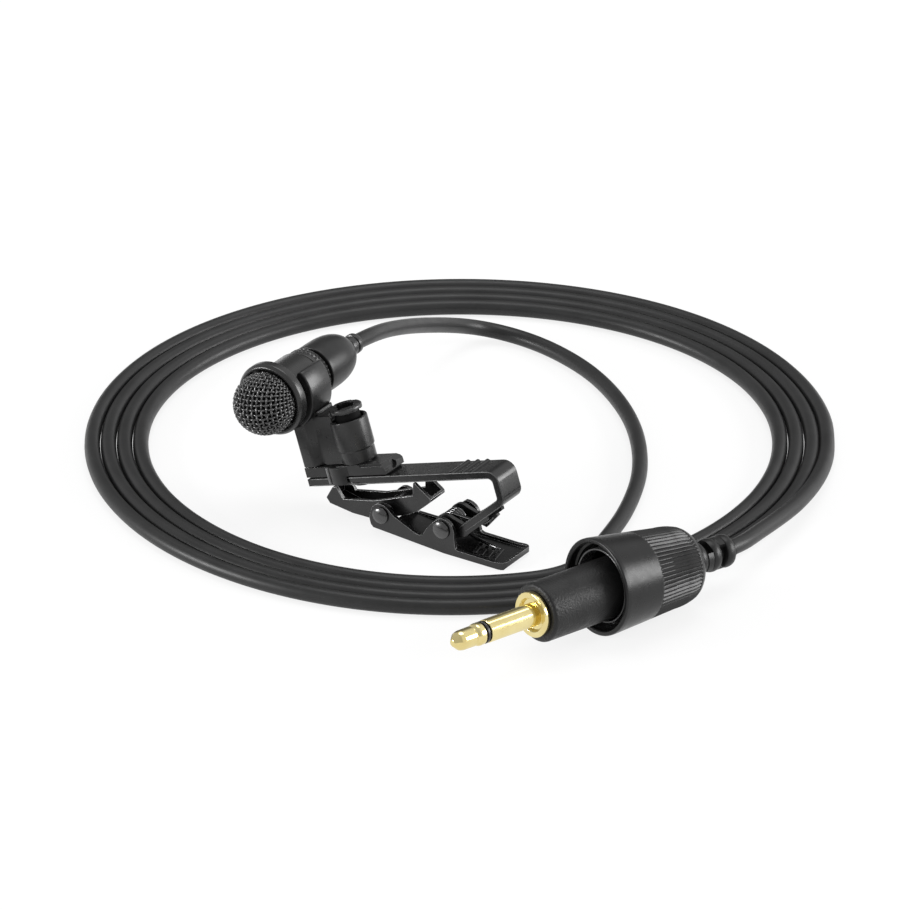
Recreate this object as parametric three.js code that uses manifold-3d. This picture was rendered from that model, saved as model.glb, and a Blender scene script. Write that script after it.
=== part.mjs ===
// Lavalier microphone: a ball-head capsule in a swivelling sheet-metal tie clip,
// with its lead, the loose coil of cable and a screw-locking 3.5 mm jack plug.
// Millimetres, +Z up. The origin is on the resting surface, under the middle of microphone and clip.

import * as THREE from "three";
import { mergeVertices } from "three/addons/utils/BufferGeometryUtils.js";
import Module from "manifold-3d";

const wasm = await Module();
wasm.setup();

// ---------------------------------------------------------------- driving dimensions

const GAP = 0.3; // running gap between neighbours

// Microphone: turned parts on one axis parallel to +Y; "d" is the distance behind the head rim.
const MIC = new THREE.Vector3(-17.22, -8.775, 17.91); // centre of the head rim
const BALL_RADIUS = 4.85;
const BALL_CENTRE = -1.0;
const HEAD_RADIUS = 5.7;
const HEAD_LENGTH = 1.8;
const NECK_RADIUS = 4.35;
const NECK_END = 8.4;
const KNURL_RADIUS = 4.5;
const KNURL_END = 10.9;
const SPIGOT_RADIUS = 3.3;
const BOOT_RADIUS = 3.8;
const BOOT_START = 11.8;
const BOOT_END = 20.7;
const FERRULE_RADIUS = 1.6;
const FERRULE_END = 23.4;

// Clip: the strap's own frame starts under its heel, with x along it and z square to it.
const CLIP_Y = -3.255; // middle plane of the clip
const HEEL = new THREE.Vector3(-12.08, CLIP_Y, 3.68);
const STRAP_TILT = THREE.MathUtils.degToRad(17.7);
const STRAP_WIDTH = 4.9;
const STRAP_SHEET = 1.1;
const NOSE = 34.6; // heel to the middle of the nose sheet
const RETURN_END = { x: 25.6, z: -8.17 };
const EAR_SHEET = 0.7;
const EAR_RADIUS = 1.9;
const LEVER_PIVOT = { x: 23.3, z: -7.23 }; // in the strap's frame
const POST_X = 8.8; // swivel axis, in the strap's frame
const POST_RADIUS = 2.2;
const BOSS = { x: 6.2, radius: 3.1 }; // round skirt of the foot, which reaches down beside the strap
const POST_TOP = 11.8;
const SOCKET_RADIUS = 2.9;
const RING_CENTRE = { x: -0.6, z: 15.1 }; // the microphone's axis, in the strap's frame
const RING_OUTER = 6.0;
const RING_INNER = 4.65;
const RING_LENGTH = 5.2;
const RING_OPENING = THREE.MathUtils.degToRad(62); // half of the snap-in mouth

// Lever and jaw: each is drawn about its own pin.
const LEVER_PIN = new THREE.Vector3(12.33, CLIP_Y, 3.88);
const JAW_PIN = new THREE.Vector3(1.55, CLIP_Y, 3.25);
const LEVER_WIDTH = 7.5;
const LEVER_SHEET = 0.6;
const TRAY_END = 11.3; // from the lever's pin
const JAW_WIDTH = 4.0;
const JAW_SHEET = 0.6;
const LEVER_PIN_RADIUS = 0.9;
const JAW_PIN_RADIUS = 0.8;
const RIVET_RADIUS = 1.1;
const RIVET_HEAD_RADIUS = 2.0;
const RIVET_RECESS = { radius: 2.6, depth: 0.3 }; // coined into the strap's underside for the rivet's head
const SPRING_WIRE = 0.5;
const SPRING_RADIUS = 1.55;
const SPRING_TURNS = 3.5;
const SPRING_PITCH = 0.56;

// Plug: the insert and the loose collar over it have slightly different axes.
const PLUG_MOUTH = new THREE.Vector3(45.07, -15.92, 6.8);
const PLUG_AXIS = new THREE.Vector3(0.2788, 0.9602, -0.0399).normalize();
const COLLAR_MOUTH = new THREE.Vector3(44.93, -15.81, 7.4);
const COLLAR_AXIS = new THREE.Vector3(0.3205, 0.9439, -0.0805).normalize();
const COLLAR_LENGTH = 17.7;
const COLLAR_RIBS = 36;
const COLLAR_RIB_HEIGHT = 0.16;
const BARREL_RADIUS = 4.5;
const BARREL_FRONT = -12.0;
const FLANGE_RADIUS = 3.45;
const SHAFT_RADIUS = 1.75;
const TIP_END = -27.8;
const RELIEF_START = new THREE.Vector3(50.53, 0.8, 6.02);
const RELIEF_END = new THREE.Vector3(53.03, 8.85, 5.38);
const RELIEF_RADIUS = 2.45;

// Cable.
const CORD_RADIUS = 1.2;
const COIL_CENTRE = new THREE.Vector2(-4.187, 22.513);
const COIL_START_ANGLE = THREE.MathUtils.degToRad(-39);
const COIL_START_RADIUS = 46.41;
const COIL_PITCH = 2.44; // strands lie side by side
const COIL_TURNS = 3.78;
const COIL_STEP = THREE.MathUtils.degToRad(5);

// Where the cable isn't coiled: microphone to coil, and coil to plug.
const LEAD_ROUTE = [
  [-17.22, 14.95, 17.88],
  [-17.5, 18.0, 17.3],
  [-18.8, 24.7, 15.3],
  [-20.6, 34.0, 11.7],
  [-22.0, 42.8, 7.9],
  [-22.6, 50.5, 4.5],
  [-21.5, 55.6, 2.3],
  [-18.5, 57.7, 1.4],
  [-14.4, 58.0, 1.2],
  [-9.9, 57.3, 1.2],
  [-5.1, 55.9, 1.2],
  [-0.1, 53.8, 1.2],
  [5.1, 50.7, 1.2],
  [10.45, 46.6, 1.2],
  [15.7, 41.5, 1.2],
  [20.6, 35.3, 1.2],
  [24.8, 28.5, 1.2],
  [27.9, 21.5, 1.2],
  [30.2, 14.7, 1.2],
  [31.6, 8.5, 1.2],
  [32.8, 2.9, 1.2],
  [33.0, -2.2, 1.2],
  [31.67, -6.13, 1.2],
];
const TAIL_ROUTE = [
  [39.05, 58.65, 1.22],
  [42.4, 54.0, 1.22],
  [45.5, 48.7, 1.3],
  [48.0, 42.8, 1.75],
  [50.0, 36.3, 2.3],
  [51.5, 29.2, 3.0],
  [52.4, 21.7, 3.9],
  [53.0, 15.4, 4.7],
  [53.35, 12.2, 5.05],
  [53.2, 9.4, 5.33],
];

// ---------------------------------------------------------------- finishes

const finish = (color, roughness, metalness) =>
  new THREE.MeshStandardMaterial({ color, roughness, metalness });
const BLACK_PLASTIC = finish(0x2e2e2f, 0.55, 0);
const BLACK_METAL = finish(0x252526, 0.32, 0.6);
const BLACK_MESH = finish(0x1e1e1e, 0.5, 0.5);
const FOAM = finish(0x141414, 0.95, 0);
const BLACK_RUBBER = finish(0x2a2a2b, 0.7, 0);
const STEEL = finish(0xb9babb, 0.3, 1);
const GOLD = finish(0xd9c98a, 0.25, 1);

// ---------------------------------------------------------------- shape helpers

// A closed geometry as a solid that can be joined and cut.
function solid(geometry) {
  const bare = geometry.index ? geometry.toNonIndexed() : geometry.clone();
  bare.deleteAttribute("normal");
  bare.deleteAttribute("uv");
  const merged = mergeVertices(bare, 1e-4);
  const mesh = new wasm.Mesh({
    numProp: 3,
    vertProperties: merged.attributes.position.array,
    triVerts: new Uint32Array(merged.index.array),
  });
  return new wasm.Manifold(mesh);
}

function geometryOf(manifold) {
  const { vertProperties, triVerts } = manifold.getMesh();
  const geometry = new THREE.BufferGeometry();
  geometry.setAttribute("position", new THREE.BufferAttribute(vertProperties, 3));
  geometry.setIndex(new THREE.BufferAttribute(triVerts, 1));
  geometry.computeVertexNormals();
  return geometry;
}

function join(first, ...others) {
  return geometryOf(others.reduce((sum, other) => sum.add(solid(other)), solid(first)));
}

function cut(body, ...tools) {
  return geometryOf(tools.reduce((rest, tool) => rest.subtract(solid(tool)), solid(body)));
}

function common(first, second) {
  return geometryOf(solid(first).intersect(solid(second)));
}

// A turned part about +Y: the profile's points are [radius, distance along the axis].
function turned(profile, segments = 30) {
  const points = profile.map(([radius, along]) => new THREE.Vector2(radius, along));
  points.push(points[0].clone());
  return new THREE.LatheGeometry(points, segments);
}

// A turned tube or disc whose profile runs along its outside; the inside is a plain bore, or none.
function sleeve(outside, bore, segments = 30) {
  const front = outside[0][1];
  const back = outside.at(-1)[1];
  return turned([[bore, front], ...outside, [bore, back]], segments);
}

// An arc of [x, y] points about a centre, from one angle to another in degrees.
function arc(x, y, radius, from, to, steps = 6) {
  return Array.from({ length: steps + 1 }, (_, i) => {
    const angle = THREE.MathUtils.degToRad(from + ((to - from) * i) / steps);
    return [x + radius * Math.cos(angle), y + radius * Math.sin(angle)];
  });
}

// A flat piece drawn in side view (x, z) and given a width along Y, centred on CENTRE.
function plate(outline, width, centre = 0) {
  const shape = new THREE.Shape(outline.map(([x, z]) => new THREE.Vector2(x, z)));
  const geometry = new THREE.ExtrudeGeometry(shape, { depth: width, bevelEnabled: false });
  return geometry.translate(0, 0, -width / 2).rotateX(Math.PI / 2).translate(0, centre, 0);
}

// A flat piece drawn in plan (x, y) and given a height along Z.
function slab(outline, bottom, top) {
  const shape = new THREE.Shape(outline.map(([x, y]) => new THREE.Vector2(x, y)));
  const options = { depth: top - bottom, bevelEnabled: false };
  return new THREE.ExtrudeGeometry(shape, options).translate(0, 0, bottom);
}

function box(x0, x1, y0, y1, z0, z1) {
  const geometry = new THREE.BoxGeometry(x1 - x0, y1 - y0, z1 - z0);
  return geometry.translate((x0 + x1) / 2, (y0 + y1) / 2, (z0 + z1) / 2);
}

// A cylinder across the clip, along Y, or standing up, along Z.
function crossBar(x, z, radius, width, centre = 0, segments = 32) {
  return new THREE.CylinderGeometry(radius, radius, width, segments).translate(x, centre, z);
}

function post(x, radius, bottom, top, segments = 26) {
  const geometry = new THREE.CylinderGeometry(radius, radius, top - bottom, segments);
  return geometry.rotateX(Math.PI / 2).translate(x, 0, (bottom + top) / 2);
}

// A path of corners [x, z, bend radius] as points, each corner rounded by its radius.
function roundedPath(corners, steps = 6) {
  const points = [];
  corners.forEach(([x, z, radius = 0], i) => {
    const corner = new THREE.Vector2(x, z);
    if (!radius || i === 0 || i === corners.length - 1) {
      points.push(corner);
      return;
    }
    const back = new THREE.Vector2(corners[i - 1][0], corners[i - 1][1]).sub(corner).normalize();
    const ahead = new THREE.Vector2(corners[i + 1][0], corners[i + 1][1]).sub(corner).normalize();
    const half = back.angleTo(ahead) / 2;
    const centre = back.clone().add(ahead).setLength(radius / Math.sin(half)).add(corner);
    const tangent = radius / Math.tan(half);
    const from = back.multiplyScalar(tangent).add(corner).sub(centre);
    const to = ahead.clone().multiplyScalar(tangent).add(corner).sub(centre);
    const turn = Math.sign(from.cross(to)) * (Math.PI - 2 * half);
    for (let step = 0; step <= steps; step++)
      points.push(from.clone().rotateAround(new THREE.Vector2(), (turn * step) / steps).add(centre));
  });
  return points;
}

// The outline of a sheet of even thickness that follows a path.
function sheetAlong(points, thickness) {
  const side = (sign) =>
    points.map((point, i) => {
      const before = points[Math.max(i - 1, 0)];
      const after = points[Math.min(i + 1, points.length - 1)];
      const run = after.clone().sub(before).normalize();
      return [point.x - (sign * run.y * thickness) / 2, point.y + (sign * run.x * thickness) / 2];
    });
  return [...side(-1), ...side(1).reverse()];
}

// A round wire or cable through points, as an extrusion along a smooth curve.
function cable(points, radius, sides, steps) {
  const curve = new THREE.CatmullRomCurve3(points.map((p) => new THREE.Vector3(...p)), false, "centripetal");
  const corners = Array.from({ length: sides }, (_, i) => {
    const angle = (2 * Math.PI * i) / sides;
    return new THREE.Vector2(radius * Math.cos(angle), radius * Math.sin(angle));
  });
  const options = { steps, extrudePath: curve, bevelEnabled: false };
  return new THREE.ExtrudeGeometry(new THREE.Shape(corners), options);
}

// ---------------------------------------------------------------- assembly helpers

const model = new THREE.Group();

function group(position, axis) {
  const made = new THREE.Group();
  made.position.copy(position);
  if (axis) made.quaternion.setFromUnitVectors(new THREE.Vector3(0, 1, 0), axis);
  model.add(made);
  return made;
}

function add(parent, name, geometry, material) {
  const mesh = new THREE.Mesh(geometry, material);
  mesh.name = name;
  parent.add(mesh);
}

// ---------------------------------------------------------------- microphone

// Pressed wire-mesh ball: a thin bowl whose rim tucks into the head ring.
function grilleDome() {
  const rim = 0.9;
  const wall = 0.35;
  const outside = arc(0, BALL_CENTRE, BALL_RADIUS, -90, 12, 8);
  const inside = arc(0, BALL_CENTRE, BALL_RADIUS - wall, 12, -90, 6);
  return turned([...outside, [4.6, rim], [4.6 - wall, rim], ...inside]);
}

// Foam liner just inside the mesh.
function popFilterLiner() {
  const outer = BALL_RADIUS - 0.35 - GAP;
  const wall = 0.6;
  const outside = arc(0, BALL_CENTRE, outer, -90, 10, 5);
  const inside = arc(0, BALL_CENTRE, outer - wall, 10, -90, 4);
  return turned([...outside, ...inside], 16);
}

// Head ring and neck in one turned piece, open through the middle.
function micHousing() {
  const lip = 4.95;
  const bore = 3.95;
  const seat = 1.3;
  const front = [[lip, 0], [5.35, 0], [5.6, 0.2], [HEAD_RADIUS, 0.5], [HEAD_RADIUS, HEAD_LENGTH - 0.15]];
  const neck = [[HEAD_RADIUS - 0.15, HEAD_LENGTH], [NECK_RADIUS, HEAD_LENGTH], [NECK_RADIUS, NECK_END]];
  const inside = [[bore, NECK_END], [bore, seat], [lip, seat]];
  return turned([...front, ...neck, ...inside]);
}

function capsule() {
  const radius = 3.0;
  return turned([[0, 1.5], [radius - 0.3, 1.5], [radius, 1.7], [radius, 4.7], [0, 4.7]], 24);
}

// Rubber sleeve that holds the capsule in the neck, with a step behind it.
function capsuleSeal() {
  return turned([[3.3, 1.5], [3.65, 1.5], [3.65, 5.6], [2.2, 5.6], [2.2, 5.0], [3.3, 5.0]], 18);
}

function knurledRing() {
  const front = NECK_END + GAP;
  const chamfer = 0.25;
  const outside = [
    [KNURL_RADIUS - chamfer, front],
    [KNURL_RADIUS, front + chamfer],
    [KNURL_RADIUS, KNURL_END - chamfer],
    [KNURL_RADIUS - chamfer, KNURL_END],
  ];
  return sleeve(outside, SPIGOT_RADIUS + GAP);
}

// Bullet-shaped rear shell with a spigot that enters the neck and a key beside it.
function cableBoot() {
  const groove = 2.5;
  const bore = 1.8;
  const shoulder = [
    [SPIGOT_RADIUS, 6.4],
    [SPIGOT_RADIUS, KNURL_END - 0.1],
    [groove, KNURL_END - 0.1],
    [groove, BOOT_START],
    [3.6, BOOT_START],
    [BOOT_RADIUS, 12.1],
  ];
  const dome = [[3.8, 14], [3.72, 16], [3.45, 17.6], [3.0, 18.9], [2.35, 20.0], [1.6, BOOT_END]];
  const inside = [[1.3, BOOT_END], [1.3, 15], [bore, 13], [bore, 6.4]];
  const shell = turned([...shoulder, ...dome, ...inside], 24);
  const key = box(-0.6, 0.6, KNURL_END + GAP, BOOT_START + 0.4, groove - 0.4, 3.75);
  const keyAngle = THREE.MathUtils.degToRad(-35);
  return join(shell, key.rotateY(keyAngle));
}

function bootFerrule() {
  const shank = 1.0;
  const front = BOOT_END + GAP;
  const collarEdge = [[FERRULE_RADIUS, front], [FERRULE_RADIUS, FERRULE_END - 0.35], [1.35, FERRULE_END]];
  const outside = [[shank, 16], [shank, front], ...collarEdge];
  return turned([[0, 16], ...outside, [0, FERRULE_END]], 24);
}

function buildMicrophone() {
  const mic = group(MIC);
  add(mic, "grille_dome", grilleDome(), BLACK_MESH);
  add(mic, "pop_filter_liner", popFilterLiner(), FOAM);
  add(mic, "mic_housing", micHousing(), BLACK_METAL);
  add(mic, "capsule", capsule(), STEEL);
  add(mic, "capsule_seal", capsuleSeal(), BLACK_RUBBER);
  add(mic, "knurled_ring", knurledRing(), BLACK_METAL);
  add(mic, "cable_boot", cableBoot(), BLACK_PLASTIC);
  add(mic, "boot_ferrule", bootFerrule(), BLACK_RUBBER);
}

// ---------------------------------------------------------------- clip

// Snap-in C-ring on a stem, with the socket that turns on the clip's collet post.
function micHolder() {
  const wall = RING_OUTER - RING_INNER;
  const middle = (RING_OUTER + RING_INNER) / 2;
  const mouth = THREE.MathUtils.radToDeg(RING_OPENING);
  const arm = arc(RING_CENTRE.x, RING_CENTRE.z, middle, 90 + mouth, 450 - mouth, 24);
  const ring = plate(sheetAlong(arm.map(([x, z]) => new THREE.Vector2(x, z)), wall), RING_LENGTH);
  const lips = [arm[0], arm.at(-1)].map(([x, z]) => crossBar(x, z, wall / 2, RING_LENGTH, 0, 16));
  const stem = box(0, 4.6, -2.6, 2.5, 3.2, 11.5);
  const web = box(4, 7.5, -1.5, 1.5, 3.5, 9.6);
  const socket = join(
    post(POST_X, SOCKET_RADIUS - 0.2, 3.5, 5.2),
    post(POST_X, SOCKET_RADIUS, 5.1, 9.9),
  );
  const bore = crossBar(RING_CENTRE.x, RING_CENTRE.z, RING_INNER, 8, 0, 40);
  const socketBore = post(POST_X, POST_RADIUS + GAP, 3, 10.5);
  const recess = box(2.2, 4.1, -3, -2.1, 4.2, 8.6);
  return cut(join(ring, ...lips, stem, web, socket), bore, socketBore, recess);
}

// Moulded foot on the strap: heel block, round boss, lug and the split collet post.
function swivelBase() {
  const bottom = STRAP_SHEET + GAP;
  const top = 2.9;
  const half = STRAP_WIDTH / 2;
  const lugTop = 3.0;
  const lugSide = [[6, bottom], [14.9, bottom], [14.9, lugTop - 0.7], [14.2, lugTop], [6, lugTop]];
  const body = join(
    box(0, 6.5, -half, half, bottom, top),
    post(BOSS.x, BOSS.radius, 0.2, top),
    plate(lugSide, STRAP_WIDTH),
    post(POST_X, POST_RADIUS, top - 0.2, 10.0),
    post(POST_X, POST_RADIUS - 0.35, 9.9, 10.8),
    post(POST_X, POST_RADIUS + 0.3, 10.7, POST_TOP - 0.15),
    post(POST_X, POST_RADIUS + 0.1, POST_TOP - 0.2, POST_TOP),
  );
  const strapRoom = box(-1, 16, -half - GAP, half + GAP, -1, bottom);
  const edge = 0.25;
  const edgeCuts = [-1, 1].map((side) =>
    new THREE.BoxGeometry(8, 1.2, 1.2)
      .rotateX(Math.PI / 4)
      .translate(14.3, side * (half + edge), lugTop + edge),
  );
  const slotHalf = 0.4;
  const slotX = box(POST_X - 3, POST_X + 3, -slotHalf, slotHalf, 6.5, POST_TOP + 1);
  const slotY = box(POST_X - slotHalf, POST_X + slotHalf, -3, 3, 6.5, POST_TOP + 1);
  const bore = post(POST_X, 1.35, 6.0, POST_TOP + 1, 24);
  const rivetHole = post(POST_X, RIVET_RADIUS + GAP, 0, 4.4, 24);
  const pocket = new THREE.CylinderGeometry(0.7, 0.7, 1, 20).rotateZ(Math.PI / 2).translate(14.9, 0, 2.2);
  return cut(body, strapRoom, ...edgeCuts, slotX, slotY, bore, rivetHole, pocket);
}

// Rivet from below the strap up into the foot.
function baseRivet() {
  const under = RIVET_RECESS.depth - GAP;
  const rim = RIVET_HEAD_RADIUS;
  const outline = [[0, -0.75], [1.1, -0.7], [1.7, -0.5], [rim, under - 0.2], [rim, under]];
  return turned([...outline, [RIVET_RADIUS, under], [RIVET_RADIUS, 4.1], [0, 4.1]], 20)
    .rotateX(Math.PI / 2)
    .translate(POST_X, 0, 0);
}

// One spring-steel strap: straight top leg, squared nose, sloping return leg and two ears for the lever pin.
function clipStrap() {
  const noseLow = { x: NOSE, z: -3.77 };
  const path = roundedPath([
    [0, STRAP_SHEET / 2],
    [NOSE, STRAP_SHEET / 2, 1.3],
    [noseLow.x, noseLow.z, 1.2],
    [RETURN_END.x, RETURN_END.z],
  ]);
  const strap = plate(sheetAlong(path, STRAP_SHEET), STRAP_WIDTH);
  const ribs = [26.8, 28.6, 30.4].map((x) => crossBar(x, STRAP_SHEET - 0.25, 0.5, STRAP_WIDTH - 0.02, 0, 16));
  const rivetHole = post(POST_X, RIVET_RADIUS + GAP, -1, 2, 24);
  const recess = post(POST_X, RIVET_RECESS.radius, -1, RIVET_RECESS.depth);
  const gripGroove = box(18.2, 19.9, -3, 3, -1, 0.12);
  const springNotch = box(24.5, 29.4, -1.75, -0.25, -9.6, -5.2);
  const earCentre = (STRAP_WIDTH - EAR_SHEET) / 2;
  const ears = [ear(-earCentre), ear(earCentre), springStop(earCentre)];
  const pinHole = crossBar(LEVER_PIVOT.x, LEVER_PIVOT.z, LEVER_PIN_RADIUS + GAP, 8, 0, 28);
  return cut(join(cut(join(strap, ...ribs), springNotch), ...ears), rivetHole, recess, gripGroove, pinHole);
}

// A flange folded down beside the return leg, ending in a round eye for the lever pin.
function ear(centre) {
  const eye = crossBar(LEVER_PIVOT.x, LEVER_PIVOT.z, EAR_RADIUS, EAR_SHEET, centre, 28);
  const flange = [
    [31.0, -5.2],
    [31.0, -6.7],
    [26.1, -9.1],
    [23.5, -9.1],
    [23.4, -5.4],
    [24.6, -5.9],
    [26.3, -7.0],
  ];
  return join(plate(flange, EAR_SHEET, centre), eye);
}

// Deeper tab on the far flange, which keeps the lever from swinging past its closed position.
function springStop(centre) {
  return plate([[29.2, -6.0], [29.95, -7.6], [27.35, -9.3], [26.6, -8.9], [26.6, -7.2]], EAR_SHEET, centre);
}

function rivetThrough(pin, pinRadius, halfSpan, headRadius) {
  const dome = 0.65;
  const end = (side) => [
    [pinRadius, side * halfSpan],
    [headRadius, side * halfSpan],
    [headRadius, side * (halfSpan + 0.15)],
    [headRadius * 0.7, side * (halfSpan + dome * 0.8)],
    [0, side * (halfSpan + dome)],
  ];
  return turned([...end(-1).reverse(), ...end(1)], 18).translate(pin.x, 0, pin.z);
}

// Finger lever: a folded channel, open as a fork at the jaw end and closed as a tray at the finger end.
function lever() {
  const side = [
    [-12.81, -1.68],
    [-12.55, -2.6],
    [-12.11, -3.03],
    [0.49, -3.88],
    [TRAY_END - 0.5, -3.88],
    [TRAY_END, -3.35],
    [TRAY_END - 0.15, -2.65],
    [8.9, -2.85],
    [2.95, -2.8],
    [2.45, -2.6],
    [2.3, -2.0],
    ...arc(0.1, -0.3, 2.15, -10, 100, 7),
    [-1.6, 0.7],
    [-2.7, -0.7],
    [-3.4, -1.9],
    [-3.9, -2.1],
    [-4.6, -1.95],
    [-6.9, -0.95],
    [-8.5, -0.2],
    ...arc(-10.78, -0.63, 1.8, 45, 170, 5),
  ];
  const inner = LEVER_WIDTH - 2 * LEVER_SHEET;
  const floorStart = -10.2;
  const hollow = [
    [-14, -5],
    [floorStart, -5],
    [floorStart, -2.6],
    [0.49, -3.88 + LEVER_SHEET],
    [TRAY_END - LEVER_SHEET, -3.88 + LEVER_SHEET],
    [TRAY_END - LEVER_SHEET, 4],
    [-14, 4],
  ];
  const ribs = [0, 1, 2, 3].map((i) =>
    new THREE.BoxGeometry(0.55, 3.4, 0.5)
      .rotateZ(THREE.MathUtils.degToRad(11))
      .translate(4.6 + 1.2 * i, -0.5 - 0.15 * i, -3.88 + LEVER_SHEET + 0.02),
  );
  const farWallDip = [[-4.2, -2.0], [-5.2, -2.5], [-8.6, -2.5], [-9.3, -1.2], [-9.3, 2], [-4.2, 2]];
  const channel = cut(
    plate(side, LEVER_WIDTH),
    plate(hollow, inner),
    plate(farWallDip, 2 * LEVER_SHEET, inner / 2 + LEVER_SHEET / 2),
    crossBar(0, 0, LEVER_PIN_RADIUS + GAP, 9, 0, 28),
    crossBar(JAW_PIN.x - LEVER_PIN.x, JAW_PIN.z - LEVER_PIN.z, JAW_PIN_RADIUS + GAP, 9, 0, 28),
  );
  const halfWidth = LEVER_WIDTH / 2;
  const corner = 1.3;
  const plan = [
    [-14, -halfWidth],
    ...arc(TRAY_END - corner, -halfWidth + corner, corner, -90, 0, 5),
    ...arc(TRAY_END - corner, halfWidth - corner, corner, 0, 90, 5),
    [-14, halfWidth],
  ];
  return common(join(channel, ...ribs), slab(plan, -6, 6));
}

// Lower jaw: a small folded channel that rocks on its pin, with raised grip edges at both ends.
function jaw() {
  const side = [
    [-9.83, 1.15],
    [-10.88, -0.8],
    [-10.23, -1.6],
    [-6.13, -2.15],
    [-2.93, -2.1],
    [1.87, -0.4],
    [3.6, 0.3],
    [5.36, 1.35],
    [6.6, 2.45],
    [7.65, 3.5],
    [7.7, 3.9],
    [7.4, 4.2],
    [4.9, 5.85],
    [4.6, 5.85],
    [4.55, 3.7],
    [0.57, 2.1],
    [-2.53, 0.9],
    [-7.93, -0.3],
    [-9.13, 1.4],
  ];
  const inner = JAW_WIDTH - 2 * JAW_SHEET;
  const hollow = [
    [-9.4, 8],
    [-9.9, -0.7],
    [-6.05, -1.53],
    [-3.05, -1.48],
    [1.7, 0.25],
    [3.35, 0.9],
    [5.0, 1.85],
    [6.2, 2.9],
    [8.6, 5.3],
    [8.2, 9],
  ];
  const pinHole = crossBar(0, 0, JAW_PIN_RADIUS + GAP, 6, 0, 28);
  return cut(plate(side, JAW_WIDTH), plate(hollow, inner), pinHole);
}

// Torsion spring on the lever pin: one leg lies on the tray floor, the other passes the notch
// in the strap's return leg and bears on its underside.
function torsionSpring() {
  const stepsPerTurn = 12;
  const half = (SPRING_TURNS * SPRING_PITCH) / 2;
  const count = Math.round(SPRING_TURNS * stepsPerTurn);
  const turns = Array.from({ length: count + 1 }, (_, i) => {
    const angle = -Math.PI / 2 - (2 * Math.PI * i) / stepsPerTurn;
    const y = half - (2 * half * i) / count;
    return [SPRING_RADIUS * Math.cos(angle), y, SPRING_RADIUS * Math.sin(angle)];
  });
  const trayLeg = [[8.2, -0.1, -2.6], [5.6, 0.4, -2.6], [3.4, 0.84, -2.55], [1.6, 0.95, -1.9]];
  const strapLeg = [
    [1.9, -half, 1.5],
    [3.5, -half, 1.45],
    [4.9, -half, 1.35],
    [5.9, -half, 1.5],
    [7.4, -half, 2.9],
  ];
  return cable([...trayLeg, ...turns, ...strapLeg], SPRING_WIRE / 2, 6, 66);
}

function buildClip() {
  const clip = group(HEEL);
  clip.rotation.y = -STRAP_TILT;
  add(clip, "mic_holder", micHolder(), BLACK_PLASTIC);
  add(clip, "swivel_base", swivelBase(), BLACK_PLASTIC);
  add(clip, "base_rivet", baseRivet(), BLACK_METAL);
  add(clip, "clip_strap", clipStrap(), BLACK_METAL);

  const leverGroup = group(LEVER_PIN);
  const jawOffset = JAW_PIN.clone().sub(LEVER_PIN);
  const origin = new THREE.Vector3();
  add(leverGroup, "clip_lever", lever(), BLACK_METAL);
  const span = LEVER_WIDTH / 2 + GAP;
  add(leverGroup, "lever_pin", rivetThrough(origin, LEVER_PIN_RADIUS, span, 1.45), BLACK_METAL);
  add(leverGroup, "jaw_pin", rivetThrough(jawOffset, JAW_PIN_RADIUS, span, 1.35), BLACK_METAL);
  add(leverGroup, "torsion_spring", torsionSpring(), STEEL);

  add(group(JAW_PIN), "clip_jaw", jaw(), BLACK_METAL);
}

// ---------------------------------------------------------------- plug

function plugTip() {
  const waist = -23.85;
  const back = -22.45;
  const profile = [
    [0, TIP_END],
    [0.45, TIP_END + 0.12],
    [1.3, -26.75],
    [1.47, -26.3],
    [1.45, -24.2],
    [1.25, waist],
    [1.6, -23.45],
    [1.7, -23.2],
    [1.7, back],
    [0.5, back],
    [0.5, -9],
    [0, -9],
  ];
  return turned(profile, 24);
}

function tipInsulator() {
  return turned([[0.8, -22.15], [1.7, -22.15], [1.7, -21.75], [1.05, -21.75], [1.05, -10], [0.8, -10]], 24);
}

// Gold shaft with the round contact flange at its root.
function plugSleeve() {
  const front = -21.45;
  const flangeFront = BARREL_FRONT - 0.7;
  const flangeBack = BARREL_FRONT - 0.05;
  const outside = [
    [1.35, front],
    [SHAFT_RADIUS, front + 0.15],
    [SHAFT_RADIUS, flangeFront + 0.45],
    [2.3, flangeFront + 0.45],
    [2.6, flangeFront],
    [FLANGE_RADIUS - 0.15, flangeFront],
    [FLANGE_RADIUS, flangeFront + 0.15],
    [FLANGE_RADIUS, flangeBack],
    [2.1, flangeBack],
    [2.1, -8.5],
    [1.35, -8.5],
  ];
  return turned(outside);
}

// Moulded insert behind the flange: it carries the shaft, and the loose collar turns on it.
function plugBarrel() {
  const front = BARREL_FRONT + GAP;
  const round = 0.5;
  const rear = 15.6;
  const outside = [
    [2.4, front],
    [BARREL_RADIUS - round, front],
    [BARREL_RADIUS - 0.15, front + 0.15],
    [BARREL_RADIUS, front + round],
    [BARREL_RADIUS, rear - 2],
    [2.6, rear],
    [0, rear],
    [0, -7],
    [2.4, -7],
  ];
  return turned(outside, 32);
}

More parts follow.
